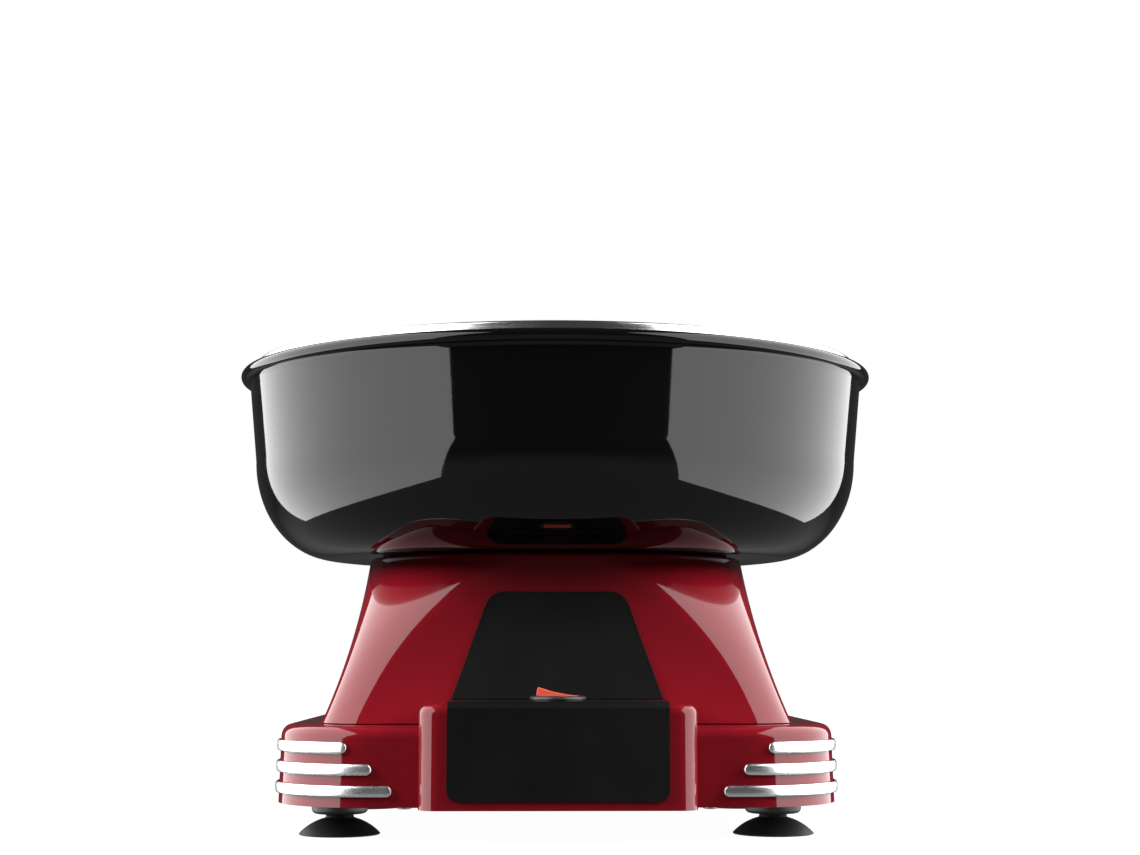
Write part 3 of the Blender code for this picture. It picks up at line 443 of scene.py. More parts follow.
def moulded(name, color, other, rough, grain_scale, grain_depth, wear=0.0, ior=1.5):
    """Plastic or rubber: a slight colour drift, handling marks in the gloss and a surface grain."""
    made, nodes, links = nodes_of(name)
    shader = nodes["Principled BSDF"]
    set_inputs(shader, {"IOR": ior})
    drift = noise(nodes, links, DRIFT, 3)
    links.new(blend_color(nodes, links, drift, color, other), shader.inputs["Base Color"])
    smudge = noise(nodes, links, SMUDGES, 5, rough=0.65)
    links.new(spread(nodes, links, smudge, *rough), shader.inputs["Roughness"])
    normal = bump(nodes, links, noise(nodes, links, grain_scale, 2), grain_depth)
    if wear:
        scratches = noise(nodes, links, SCRATCHES, 2, stretch=(0.06, 1, 1))
        lines = spread(nodes, links, scratches, 0, 1, 0.66, 0.72)
        normal = bump(nodes, links, lines, wear, below=normal)
    links.new(normal, shader.inputs["Normal"])
    return made


def metal(name, color, other, rough, grain_depth, brushed=None, spun=None, blotch=18,
          uneven=0.2):
    """Metal with a plain, brushed or spun grain.

    brushed is the stretch of the grain along X, Y and Z, spun is the number of rings for each
    metre of radius and height, and uneven is how far the grain changes the roughness.
    """
    made, nodes, links = nodes_of(name)
    shader = nodes["Principled BSDF"]
    set_inputs(shader, {"Metallic": 1.0})
    drift = noise(nodes, links, blotch, 4)
    links.new(blend_color(nodes, links, drift, color, other), shader.inputs["Base Color"])
    if spun:
        around = turned_coordinates(nodes, links)
        grain = noise(nodes, links, 1.0, 3, stretch=(spun, 3.0, spun), source=around)
    else:
        grain = noise(nodes, links, BRUSHING, 3, stretch=brushed or (1, 1, 1))
    smudge = noise(nodes, links, METAL_SMUDGES, 5)
    mixed = nodes.new("ShaderNodeMath")
    mixed.operation = "MULTIPLY"
    links.new(spread(nodes, links, grain, 1 - uneven, 1 + uneven), mixed.inputs[0])
    links.new(spread(nodes, links, smudge, *rough), mixed.inputs[1])
    links.new(mixed.outputs["Value"], shader.inputs["Roughness"])
    links.new(bump(nodes, links, grain, grain_depth), shader.inputs["Normal"])
    return made


def striped_metal(name, color, other, rough, pitch, depth):
    """Stacked sheets or laid wire: fine ridges at a pitch along Z, with painted shade: the darker
    colour fills the grooves between the ridges.
    """
    made, nodes, links = nodes_of(name)
    shader = nodes["Principled BSDF"]
    set_inputs(shader, {"Metallic": 0.85})
    coordinates = nodes.new("ShaderNodeTexCoord")
    band = math.pi / 10  # metres at scale 1
    wave = add_node(nodes, "ShaderNodeTexWave",
                    {"Scale": band / pitch, "Distortion": 0.4, "Detail": 2})
    wave.wave_type = "BANDS"
    wave.bands_direction = "Z"
    links.new(coordinates.outputs["Object"], wave.inputs["Vector"])
    # Painted shade: the darker colour (other) goes where the bump below is low, in the grooves
    # between the ridges.
    links.new(blend_color(nodes, links, wave.outputs["Fac"], other, color),
              shader.inputs["Base Color"])
    links.new(spread(nodes, links, noise(nodes, links, 60), *rough),
              shader.inputs["Roughness"])
    links.new(bump(nodes, links, wave.outputs["Fac"], depth), shader.inputs["Normal"])
    return made


def make_materials():
    """One material for each slot of the record."""
    return {
        "red_plastic": moulded("red_gloss", (0.185, 0.0048, 0.0105), (0.205, 0.0054, 0.012),
                               (0.035, 0.06), 700, 0.004 * MM, wear=0.0008 * MM, ior=1.49),
        "black_gloss": moulded("bowl_black", (0.002, 0.002, 0.002), (0.003, 0.003, 0.003),
                               (0.03, 0.05), 500, 0.003 * MM, wear=0.0008 * MM, ior=1.42),
        "panel_black": moulded("panel_satin", (0.003, 0.003, 0.003), (0.0045, 0.0045, 0.0045),
                               (0.30, 0.38), 2600, 0.012 * MM, ior=1.33),
        "chrome": metal("bright_chrome", (0.93, 0.93, 0.94), (0.88, 0.89, 0.90), (0.24, 0.30),
                        0.01 * MM, brushed=(0.25, 0.25, 0.25), uneven=0.04),
        "steel": metal("spun_steel", (0.80, 0.80, 0.81), (0.72, 0.72, 0.73), (0.14, 0.22),
                       0.01 * MM, spun=2600),
        "aluminium": metal("spun_aluminium", (0.86, 0.86, 0.87), (0.76, 0.77, 0.78),
                           (0.22, 0.32), 0.02 * MM, spun=2000),
        "rubber": moulded("black_rubber", (0.008, 0.008, 0.008), (0.013, 0.013, 0.013),
                          (0.50, 0.64), 1500, 0.02 * MM, ior=1.4),
        "switch_red": moulded("rocker_red", (0.86, 0.135, 0.075), (0.80, 0.10, 0.055),
                              (0.12, 0.2), 900, 0.004 * MM),
        "switch_black": moulded("switch_black", (0.018, 0.018, 0.018), (0.028, 0.028, 0.028),
                                (0.26, 0.38), 2400, 0.02 * MM),
        "dark_plastic": moulded("textured_black", (0.016, 0.016, 0.017), (0.026, 0.026, 0.028),
                                (0.42, 0.58), 1800, 0.05 * MM),
        "ceramic": moulded("steatite", (0.74, 0.71, 0.64), (0.64, 0.60, 0.52),
                           (0.5, 0.7), 1200, 0.04 * MM),
        "heater_metal": metal("heater_sheath", (0.20, 0.17, 0.15), (0.34, 0.24, 0.17),
                              (0.34, 0.52), 0.02 * MM, blotch=60),
        "zinc": metal("zinc_plate", (0.60, 0.61, 0.63), (0.48, 0.50, 0.53), (0.28, 0.42),
                      0.01 * MM, brushed=(0.1, 1, 1), blotch=90),
        # The second, darker colour of the laminations and the copper wire is painted shade in the
        # grooves between sheets and turns.
        "lamination": striped_metal("laminations", (0.30, 0.31, 0.33), (0.10, 0.10, 0.11),
                                    (0.35, 0.5), 0.6 * MM, 0.05 * MM),
        "copper": striped_metal("copper_wire", (0.80, 0.36, 0.18), (0.34, 0.12, 0.05),
                                (0.22, 0.34), 0.7 * MM, 0.12 * MM),
        "bronze": metal("sintered_bronze", (0.60, 0.42, 0.20), (0.42, 0.28, 0.12),
                        (0.35, 0.5), 0.03 * MM, blotch=140),
        "wire_cover": moulded("wire_cover", (0.10, 0.14, 0.34), (0.08, 0.11, 0.28),
                              (0.3, 0.42), 900, 0.01 * MM),
    }


MATERIALS = make_materials()
SLOTS = {part["node"]: part["material_slot"] for part in frame["record"]["subparts"]}
BODY_OF = {node: body for body, members in frame["record"]["behaviour"]["bodies"].items()
           for node in members}


# ---------------- housings and panels

def neck_size(z, offset=0.0):
    """Half width and corner radius of the neck at height z."""
    share = min(max((z - NECK_BOTTOM) / (NECK_ROUND_Z - NECK_BOTTOM), 0), 1)
    half = NECK_TOP_HALF + (NECK_HALF - NECK_TOP_HALF) * (1 - share) ** NECK_HOLLOW
    corner = NECK_CORNER + (NECK_TOP_CORNER - NECK_CORNER) * share ** NECK_OPENING
    return half + offset, corner + offset


def neck_ring(z, offset=0.0, at=None):
    """The neck's outline at height z, grown by the offset; at sets it at another height."""
    half, corner = neck_size(z, offset)
    return square_ring(half, half, corner, z if at is None else at)


def neck_front_y(x, z, offset):
    """Where the neck's front is at x and z, this far outside its surface."""
    half, corner = neck_size(z, offset)
    beyond = max(abs(x) - (half - corner), 0)
    return corner - half - math.sqrt(corner ** 2 - beyond ** 2)


def rounded_box(half_x, half_y, corner, bottom, top, edge, center_y=0.0, lean=0.0, steps=8):
    """A rounded rectangle with a rounded top edge and walls that lean in towards the top."""
    rings = [square_ring(half_x + lean, half_y + lean, corner + lean, bottom, center_y)]
    for i in range(steps + 1):
        a = math.pi / 2 * i / steps
        inset = lean + edge * (1 - math.cos(a))
        rings.append(square_ring(half_x - inset, half_y - inset, max(corner - inset, 0.4 * MM),
                                 top - edge + edge * math.sin(a), center_y))
    return loft(rings)


def make_lower_housing():
    """The hollow base and its front block, with holes for the neck, the switch and the cord."""
    shell = new_object("lower_housing_finished",
                       rounded_box(BASE_HALF_X, BASE_HALF_Y, BASE_CORNER, BASE_BOTTOM, BASE_TOP,
                                   BASE_EDGE, lean=LEAN))
    depth = BLOCK_BACK - BLOCK_FRONT
    middle = (BLOCK_BACK + BLOCK_FRONT) / 2
    block = rounded_box(BLOCK_HALF_X, depth / 2, BLOCK_CORNER, BASE_BOTTOM - 0.2 * MM, BLOCK_TOP,
                        BLOCK_EDGE, middle)
    wall = WALL + 2 * LEAN
    inside = loft([square_ring(BASE_HALF_X - wall, BASE_HALF_Y - wall, BASE_CORNER - wall, z)
                   for z in (BASE_BOTTOM - 2 * MM, BASE_TOP - WALL)])
    block_inside = loft([square_ring(BLOCK_HALF_X - WALL, depth / 2, 2 * MM, z, middle + WALL)
                         for z in (BASE_BOTTOM - 3 * MM, BLOCK_TOP - WALL)])
    opening = loft([square_ring(NECK_HALF - 8 * MM, NECK_HALF - 8 * MM, 12 * MM, z)
                    for z in (BASE_TOP - 6 * MM, BASE_TOP + 20 * MM)])
    neck_space = loft([neck_ring(z, 2 * GAP) for z in (BASE_TOP, BASE_TOP + 20 * MM)])
    hole = cylinder(SWITCH_HOLE, 40 * MM, 70 * MM)
    inlet = cylinder(CORD_HOLE, 0, 20 * MM)
    combine(shell, "UNION", block)
    combine(shell, "DIFFERENCE", inside, block_inside, opening, neck_space,
            moved(hole, SWITCH_PLACE),
            moved(inlet, (0, 105 * MM, CORD_Z), Matrix.Rotation(-math.pi / 2, 3, "X")))
    return finish_piece(shell, "lower_housing", weighted=True)


def make_upper_housing():
    """The neck, from its outside over the rounded edge, the groove and the hole to its inside."""
    height = NECK_ROUND_Z - NECK_BOTTOM
    steps, edge_steps = 28, 6
    levels = [NECK_BOTTOM + height * i / steps for i in range(steps + 1)]
    rings = [neck_ring(z) for z in levels]
    edge = NECK_TOP - NECK_ROUND_Z
    for i in range(1, edge_steps + 1):
        turn = math.pi / 2 * i / edge_steps
        rings.append(neck_ring(NECK_ROUND_Z, -edge * (1 - math.cos(turn)),
                               NECK_ROUND_Z + edge * math.sin(turn)))
    facing = math.atan2(NECK_TOP_HALF - NECK_TOP_CORNER, NECK_TOP_HALF)
    outer, inner = SEAL_OUTER + SEAL_PLAY, SEAL_INNER - SEAL_PLAY
    rings += [circle_ring(radius, NECK_TOP - depth, facing)
              for radius, depth in ((outer, 0), (outer, SEAL_GROOVE), (inner, SEAL_GROOVE),
                                    (inner, 0), (WELL_RADIUS, 0))]
    rings.append(circle_ring(WELL_RADIUS, NECK_TOP - WALL, facing))
    rings.append(neck_ring(NECK_ROUND_Z, -WALL, NECK_TOP - WALL))
    rings += [neck_ring(z, -WALL) for z in reversed(levels[::4][:-1])]
    return fine("upper_housing", loft(rings, closed=True))


def make_bottom_cover():
    """The underside plate, with a tongue under the block, two banks of vents and screw holes."""
    fit = WALL + GAP + 2 * LEAN
    bottom = low("bottom_cover").z
    top = high("bottom_cover").z
    cover = new_object("bottom_cover_finished",
                       loft([square_ring(BASE_HALF_X - fit, BASE_HALF_Y - fit,
                                         BASE_CORNER - fit, z)
                             for z in (bottom + 0.05 * MM, top)]))
    front = low("bottom_cover").y
    back = -100 * MM
    tongue = loft([square_ring(BLOCK_HALF_X - WALL - 2 * GAP, (back - front) / 2, 2.5 * MM, z,
                               (front + back) / 2)
                   for z in (bottom + 0.02 * MM, top - 0.05 * MM)])
    slots = []
    for row in range(VENT_ROWS):
        x = (row - VENT_ROWS // 2) * VENT_PITCH
        end = math.sqrt(VENT_REACH ** 2 - x ** 2) - VENT_MARGIN
        for side in (-1, 1):
            slots.append(long_slot(x, side * (end + VENT_RIB) / 2, (end - VENT_RIB) / 2,
                                   VENT_HALF_WIDTH, bottom - 3 * MM, top + 3 * MM))
    holes = [moved(cylinder(COVER_SCREW_HOLE, -5 * MM, 5 * MM, 24), (x, y, BASE_BOTTOM))
             for x in (-COVER_SCREW_X, COVER_SCREW_X) for y in (-COVER_SCREW_Y, COVER_SCREW_Y)]
    combine(cover, "UNION", tongue)
    combine(cover, "DIFFERENCE", gather(slots), gather(holes))
    return finish_piece(cover, "bottom_cover", weighted=True)


def make_panels():
    """The panel folded over the block and the one on the slope of the neck."""
    path = [(LEDGE_BACK, LEDGE_TOP, 0.0, 1.0)]
    fold_steps = 10
    for i in range(fold_steps + 1):
        a = math.pi / 2 * i / fold_steps
        path.append((PANEL_FRONT + PANEL_FOLD * (1 - math.sin(a)),
                     LEDGE_TOP - PANEL_FOLD * (1 - math.cos(a)), math.sin(a), math.cos(a)))
    corner_steps = 12
    for i in range(corner_steps):
        a = math.pi / 2 * i / corner_steps
        path.append((PANEL_FRONT, PANEL_BOTTOM + PANEL_CORNER * (1 - math.sin(a)), 1.0, 0.0))
    path.append((PANEL_FRONT, PANEL_BOTTOM, 1.0, 0.0))
    outer, inner = [], []
    for y, z, out_y, out_z in path:
        above = max(PANEL_BOTTOM + PANEL_CORNER - z, 0)
        half = PANEL_HALF_X - PANEL_CORNER + math.sqrt(max(PANEL_CORNER ** 2 - above ** 2, 0))
        outer.append([(side * half, y, z) for side in (-1, 1)])
        inner.append([(side * half, y + PANEL_THICK * out_y, z - PANEL_THICK * out_z)
                      for side in (-1, 1)])
    panel = new_object("front_panel_finished", plate(outer, inner))
    combine(panel, "DIFFERENCE",
            moved(cylinder(SWITCH_HOLE, 50 * MM, 60 * MM), SWITCH_PLACE))
    soften(panel, 0.16 * MM)
    finish_piece(panel, "front_panel", weighted=True)

    bottom = LEDGE_TOP + GAP
    straight = 16
    heights = [bottom + (SLOPE_TOP - SLOPE_CORNER - bottom) * i / straight
               for i in range(straight + 1)]
    heights += [SLOPE_TOP - SLOPE_CORNER * (1 - math.sin(math.pi / 2 * i / corner_steps))
                for i in range(1, corner_steps + 1)]
    outer, inner = [], []
    columns = 24
    for z in heights:
        share = (z - bottom) / (SLOPE_TOP - bottom)
        half = PANEL_HALF_X + (SLOPE_HALF_TOP - PANEL_HALF_X) * share
        above = max(z - (SLOPE_TOP - SLOPE_CORNER), 0)
        half += math.sqrt(max(SLOPE_CORNER ** 2 - above ** 2, 0)) - SLOPE_CORNER
        across = [half * (2 * j / columns - 1) for j in range(columns + 1)]
        outer.append([(x, neck_front_y(x, z, GAP + PANEL_THICK), z) for x in across])
        inner.append([(x, neck_front_y(x, z, GAP), z) for x in across])
    slope = new_object("slope_panel_finished", plate(outer, inner))
    soften(slope, 0.16 * MM)
    finish_piece(slope, "slope_panel", weighted=True)


# ---------------- chrome strips

# name, height, x of the front tip, how far the side tip is in front of the axis
STRIPS = (("upper", 37.4 * MM, 83.9 * MM, 60 * MM),
          ("middle", 28.9 * MM, 73.9 * MM, 50 * MM),
          ("lower", 20.4 * MM, 65.8 * MM, 42 * MM))
STRIP_HALF = 2.25 * MM
STRIP_EDGE = 0.35 * MM  # thickness at the edge
STRIP_DOME = 0.75 * MM  # how much thicker the middle is


def corner_path(distance, offset):
    """Point on the base's front right corner. Distance 0 is where the arc starts; it is negative
    along the front and runs past the arc's end along the side."""
    turn_length = BASE_CORNER * math.pi / 2
    center = Vector((BASE_HALF_X - BASE_CORNER, BASE_CORNER - BASE_HALF_Y))
    a = min(max(distance / BASE_CORNER, 0), math.pi / 2)
    point = center + Vector((math.sin(a), -math.cos(a))) * (BASE_CORNER + offset)
    if distance < 0:
        point += Vector((distance, 0))
    if distance > turn_length:
        point += Vector((0, distance - turn_length))
    return point


def make_strips():
    """Domed chrome strips with round ends around each front corner."""
    end_steps, middle_steps, across_steps = 10, 60, 14
    for name, height, front_tip, side_tip in STRIPS:
        start = front_tip - (BASE_HALF_X - BASE_CORNER)
        if start > 0:
            start = BASE_CORNER * math.asin(start / BASE_CORNER)
        length = BASE_CORNER * math.pi / 2 + BASE_HALF_Y - BASE_CORNER - side_tip - start
        stops = [STRIP_HALF * (1 - math.cos(math.pi / 2 * i / end_steps))
                 for i in range(1, end_steps + 1)]
        inside = [STRIP_HALF + (length - 2 * STRIP_HALF) * i / middle_steps
                  for i in range(1, middle_steps)]
        along = stops + inside + [length - s for s in reversed(stops)]
        lean = LEAN * (1 - 2 * (height - BASE_BOTTOM) / (BASE_TOP - BASE_EDGE - BASE_BOTTOM))
        outer, inner = [], []
        for s in along:
            near = min(s, length - s, STRIP_HALF)
            reach = math.sqrt(STRIP_HALF ** 2 - (STRIP_HALF - near) ** 2)
            outer_row, inner_row = [], []
            for i in range(across_steps + 1):
                q = -math.cos(math.pi * i / across_steps)
                dome = STRIP_DOME * (1 - abs(q) ** 3) ** 0.5 * (reach / STRIP_HALF) ** 0.7
                base_at = corner_path(start + s, lean + 2 * GAP)
                top_at = corner_path(start + s, lean + 2 * GAP + STRIP_EDGE + dome)
                inner_row.append((base_at.x, base_at.y, height + q * reach))
                outer_row.append((top_at.x, top_at.y, height + q * reach))
            outer.append(outer_row)
            inner.append(inner_row)
        for side, sign in (("right", 1), ("left", -1)):
            grids = [[[(sign * x, y, z) for x, y, z in row] for row in grid]
                     for grid in (outer, inner)]
            fine("chrome_strip_%s_%s" % (name, side), plate(*grids), angle=50)


# ---------------- feet, switch and fittings

def make_feet():
    """The suction cups, each with a domed outside and a hollow below, and their mounting discs."""
    cup, stem, rise = 16.9 * MM, 6.1 * MM, 6.9 * MM
    rim = 0.5 * MM
    drop = (cup ** 2 - stem ** 2 - rise ** 2) / (2 * rise)
    sphere = math.hypot(cup, drop)
    dome = []
    steps = 24
    for i in range(steps + 1):
        r = cup + (stem - cup) * i / steps
        dome.append((r, rim + (rise - rim) * (math.sqrt(sphere ** 2 - r ** 2) - drop) / rise))
    neck_top = 8.3 * MM
    stud = [(stem - 0.25 * MM, rise + 0.3 * MM), (stem - 0.35 * MM, neck_top - 0.25 * MM),
            (stem - 0.6 * MM, neck_top), (4 * MM, neck_top), (4 * MM, 12.4 * MM),
            (3.8 * MM, 12.6 * MM), (0, 12.6 * MM)]
    hollow = [(0, 3.4 * MM), (3 * MM, 3.3 * MM), (6 * MM, 3.0 * MM), (9 * MM, 2.4 * MM),
              (11.6 * MM, 1.5 * MM), (13.4 * MM, 0.55 * MM), (14.2 * MM, 0)]
    outline = hollow + [(cup - 0.5 * MM, 0), (cup - 0.12 * MM, 0.18 * MM)] + dome + stud
    bottom, top = low("foot_mount_front_left").z, high("foot_mount_front_left").z
    disc = [(4.3 * MM, bottom), (9.6 * MM, bottom)]
    disc += arc(9.6 * MM, bottom + 2.15 * MM, 2.15 * MM, -80, 0, 8)
    disc += [(11.75 * MM, top - 0.4 * MM), (11.35 * MM, top), (4.3 * MM, top)]
    for side, middle in FOOT_PLACES.items():
        place = (middle.x, middle.y, 0)
        fine("suction_foot_" + side, moved(turned(outline, 72, True), place), angle=40)
        fine("foot_mount_" + side, moved(turned(disc, 64), place))


def make_switch():
    """The round switch body with its pocket, and the rocker, which rests with one side high."""
    bottom = low("switch_body").z
    flange_bottom = LEDGE_TOP + GAP
    outline = [(0, bottom), (SWITCH_BARREL, bottom), (SWITCH_BARREL, flange_bottom),
               (SWITCH_FLANGE - 0.15 * MM, flange_bottom)]
    outline += arc(SWITCH_FLANGE - 1.1 * MM, SWITCH_TOP - 1.1 * MM, 1.1 * MM, -8, 78, 10)
    outline += [(9.9 * MM, SWITCH_TOP), (9.7 * MM, SWITCH_TOP - 0.1 * MM),
                (0, SWITCH_TOP - 0.1 * MM)]
    body = new_object("switch_body_finished", moved(turned(outline, 96, True), SWITCH_PLACE))
    play = 0.4 * MM
    pocket = loft([square_ring(ROCKER_REACH + play, ROCKER_HALF_Y + play, play, z)
                   for z in (ROCKER_PIVOT_Z - 7.6 * MM, SWITCH_TOP + 5 * MM)])
    combine(body, "DIFFERENCE", moved(pocket, SWITCH_PLACE))
    finish_piece(body, "switch_body", weighted=True)

    tip, heel = math.radians(12.5), math.radians(-27)
    side_steps, top_steps = 10, 28
    side = [heel + (tip - heel) * i / side_steps for i in range(side_steps + 1)]
    profile = [(ROCKER_REACH * math.cos(a), ROCKER_REACH * math.sin(a)) for a in side]
    end_x, end_z = profile[-1]
    for i in range(1, top_steps):
        x = end_x * (1 - 2 * i / top_steps)
        profile.append((x, end_z - ROCKER_HOLLOW * (1 - (x / end_x) ** 2)))
    profile += [(-x, z) for x, z in reversed(profile[:side_steps + 1])]
    profile += [(-1.5 * MM, -6 * MM), (1.5 * MM, -6 * MM)]
    rocker = loft([[(x, y, z) for x, z in profile] for y in (-ROCKER_HALF_Y, ROCKER_HALF_Y)])
    pivot = SWITCH_PLACE + Vector((0, 0, ROCKER_PIVOT_Z))
    piece = new_object("switch_rocker_finished",
                       moved(rocker, pivot, Matrix.Rotation(math.radians(ROCKER_TILT), 3, "Y")))
    soften(piece, 0.25 * MM, 3, 40)
    finish_piece(piece, "switch_rocker", weighted=True)


def make_fittings():
    """The cord inlet, with moulded ribs, and the screws of the bottom cover."""
    face = 3.4 * MM
    bushing = [(3.2 * MM, -9 * MM), (5.2 * MM, -9 * MM), (5.2 * MM, 0.5 * MM), (7.7 * MM, 0.5 * MM),
               (8 * MM, 0.8 * MM), (8 * MM, 1.9 * MM)]
    bushing += arc(6.6 * MM, face - 1.4 * MM, 1.4 * MM, 10, 90, 8)
    bushing += [(4.6 * MM, face), (4.4 * MM, face - 0.5 * MM), (3.9 * MM, face - 0.5 * MM),
                (3.7 * MM, face), (3.3 * MM, face - 0.1 * MM), (3.2 * MM, face - 0.3 * MM)]
    place = (0, high("cord_inlet").y - face, CORD_Z)
    fine("cord_inlet", moved(turned(bushing, 72), place, Matrix.Rotation(-math.pi / 2, 3, "X")))
    for number in range(1, 5):
        make_screw("cover_screw_%d" % number, 1.5 * MM, 3.2 * MM, 1.7 * MM)


def make_screw(node, shank, head, rise):
    """A pan-head screw with a cross recess and a turned thread, head down."""
    bottom, top = low(node), high(node)
    middle = (bottom + top) / 2
    length = top.z - bottom.z
    outline = [(0, 0), (head * 0.6, 0.02 * MM), (head * 0.86, 0.2 * MM), (head * 0.98, 0.6 * MM),
               (head, rise - 0.15 * MM), (head - 0.15 * MM, rise), (shank * 0.8, rise)]
    pitch = 0.9 * MM
    turns = int((length - rise - shank) / pitch)
    for i in range(turns):
        outline.append((shank, rise + pitch * (i + 0.5)))
        outline.append((shank * 0.76, rise + pitch * (i + 1)))
    outline += [(shank * 0.3, length - 0.05 * MM), (0, length)]
    screw = new_object(node + "_finished", turned(outline, 40, True))
    long, narrow, deep = 3.4 * MM, 0.7 * MM, 1.6 * MM
    combine(screw, "DIFFERENCE", box((long, narrow, deep)), box((narrow, long, deep)))
    screw.data.transform(Matrix.Translation((middle.x, middle.y, bottom.z)))
    finish_piece(screw, node)


# ---------------- bowl

def make_bowl():
    """The black shell with its rolled bead, and the steel liner with its hem and its collar."""
    foot_z = BOWL_BOTTOM + BOWL_RISE
    bead_center = BOWL_RADIUS - BEAD_RADIUS
    under = BEAD_Z - 3 * MM
    shell = [(BOWL_HOLE, BOWL_BOTTOM + 0.3 * MM), (BOWL_HOLE + 0.3 * MM, BOWL_BOTTOM)]
    shell += arc(BOWL_FLAT, foot_z, BOWL_CURVE, -90, 0, 40, BOWL_RISE)
    shell += [(BOWL_WALL_TOP - 0.1 * MM, under - 1.2 * MM),
              (BOWL_WALL_TOP + 0.02 * MM, under - 0.3 * MM)]
    shell += arc(bead_center, BEAD_Z, BEAD_RADIUS, -112, 90, 24)
    inside, rim = BOWL_WALL_TOP - BOWL_WALL, BEAD_Z + BEAD_RADIUS
    shell += [(inside + 0.8 * MM, rim), (inside + 0.2 * MM, rim - 0.25 * MM),
              (inside, rim - 0.8 * MM), (inside, under)]
    shell += arc(BOWL_FLAT, foot_z, BOWL_CURVE - BOWL_WALL, 0, -90, 20, BOWL_RISE - BOWL_WALL)
    shell += [(BOWL_HOLE, BOWL_BOTTOM + BOWL_WALL)]
    fine("bowl_shell", turned(shell, ROUND), angle=50)

    apart = 0.4 * MM
    outer_curve = BOWL_CURVE - BOWL_WALL - apart
    outer_rise = BOWL_RISE - BOWL_WALL - apart
    inner_curve, inner_rise = outer_curve - LINER_WALL, outer_rise - LINER_WALL
    collar = BOWL_HOLE + 1 * MM
    collar_top = 131 * MM
    hem = 1 * MM
    floor_under, floor = foot_z - outer_rise, foot_z - inner_rise
    bend = 1.6 * MM
    liner = [(collar, collar_top - 0.2 * MM), (collar, floor_under)]
    liner += arc(BOWL_FLAT, foot_z, outer_curve, -90, 0, 30, outer_rise)
    liner += [(LIP_RADIUS, BEAD_Z - 2 * MM), (LIP_RADIUS, rim + 0.2 * MM)]
    liner += arc(LIP_RADIUS - hem, LIP_TOP - hem, hem, 0, 180, 16)
    liner += [(LIP_RADIUS - 2 * hem, LIP_TOP - 2.6 * hem),
              (LIP_RADIUS - 1.8 * hem, LIP_TOP - 3.2 * hem),
              (LIP_RADIUS - LINER_WALL, LIP_TOP - 4 * hem),
              (LIP_RADIUS - LINER_WALL, BEAD_Z - 2 * MM)]
    liner += arc(BOWL_FLAT, foot_z, inner_curve, 0, -90, 30, inner_rise)
    liner += arc(collar + LINER_WALL + bend, floor + bend, bend, -90, -180, 8)
    liner += arc(collar + LINER_WALL / 2, collar_top - LINER_WALL / 2, LINER_WALL / 2, 0, 160, 8)
    fine("bowl_liner", turned(liner, ROUND), angle=50)


# ---------------- heater and head

def make_heater():
    """The pan that hangs in the neck, and the open ring of the heater tube with pinched ends."""
    sheet = 1 * MM
    well = WELL_RADIUS - 1.2 * MM
    bottom, flange, top = low("heater_pan").z, NECK_TOP + GAP, high("heater_pan").z
    rim = high("heater_pan").x
    bend = 1.2 * MM
    pan = [(7 * MM, bottom), (well - bend, bottom)]
    pan += arc(well - bend, bottom + bend, bend, -90, 0, 6)
    pan += [(well, flange), (rim - bend, flange)]
    pan += arc(rim - bend, flange + bend, bend, -90, 0, 6)
    pan += arc(rim - sheet / 2, top - sheet / 2, sheet / 2, 0, 180, 10)
    pan += [(rim - sheet, flange + sheet), (well - sheet, flange + sheet),
            (well - sheet, bottom + sheet), (7 * MM, bottom + sheet)]
    fine("heater_pan", turned(pan, 128), angle=50)

    height, ring, tube = 122 * MM, 27 * MM, 3.2 * MM
    steps, sides = 96, 20
    opening = 40  # degrees, at the front
    loops = []
    for i in range(steps + 1):
        a = math.radians(opening / 2 + (360 - opening) * i / steps)
        out = Vector((math.sin(a), -math.cos(a), 0))
        shrink = 1.0 if 0 < i < steps else 0.9
        center = out * ring + Vector((0, 0, height))
        loops.append([center + (out * math.cos(t) + Vector((0, 0, math.sin(t)))) * tube * shrink
                      for t in [2 * math.pi * k / sides for k in range(sides)]])
    fine("heater_element", loft(loops), angle=50)


def make_seal():
    """The rubber ring in the neck's groove, with a shallow channel and a thin lip at its edge."""
    bottom, top = low("bowl_seal").z, high("bowl_seal").z
    lip_top = BOWL_BOTTOM - 0.05 * MM
    channel = top - 0.3 * MM
    seal = [(SEAL_INNER, bottom), (SEAL_OUTER, bottom), (SEAL_OUTER, top - 0.1 * MM),
            (SEAL_OUTER - 0.3 * MM, lip_top), (SEAL_OUTER - 0.8 * MM, lip_top),
            (SEAL_OUTER - 1.3 * MM, top), (SEAL_INNER + 5.5 * MM, top),
            (SEAL_INNER + 5 * MM, channel), (SEAL_INNER + 4 * MM, channel),
            (SEAL_INNER + 3.5 * MM, top), (SEAL_INNER + 0.2 * MM, top),
            (SEAL_INNER, top - 0.2 * MM)]
    fine("bowl_seal", turned(seal, 128))


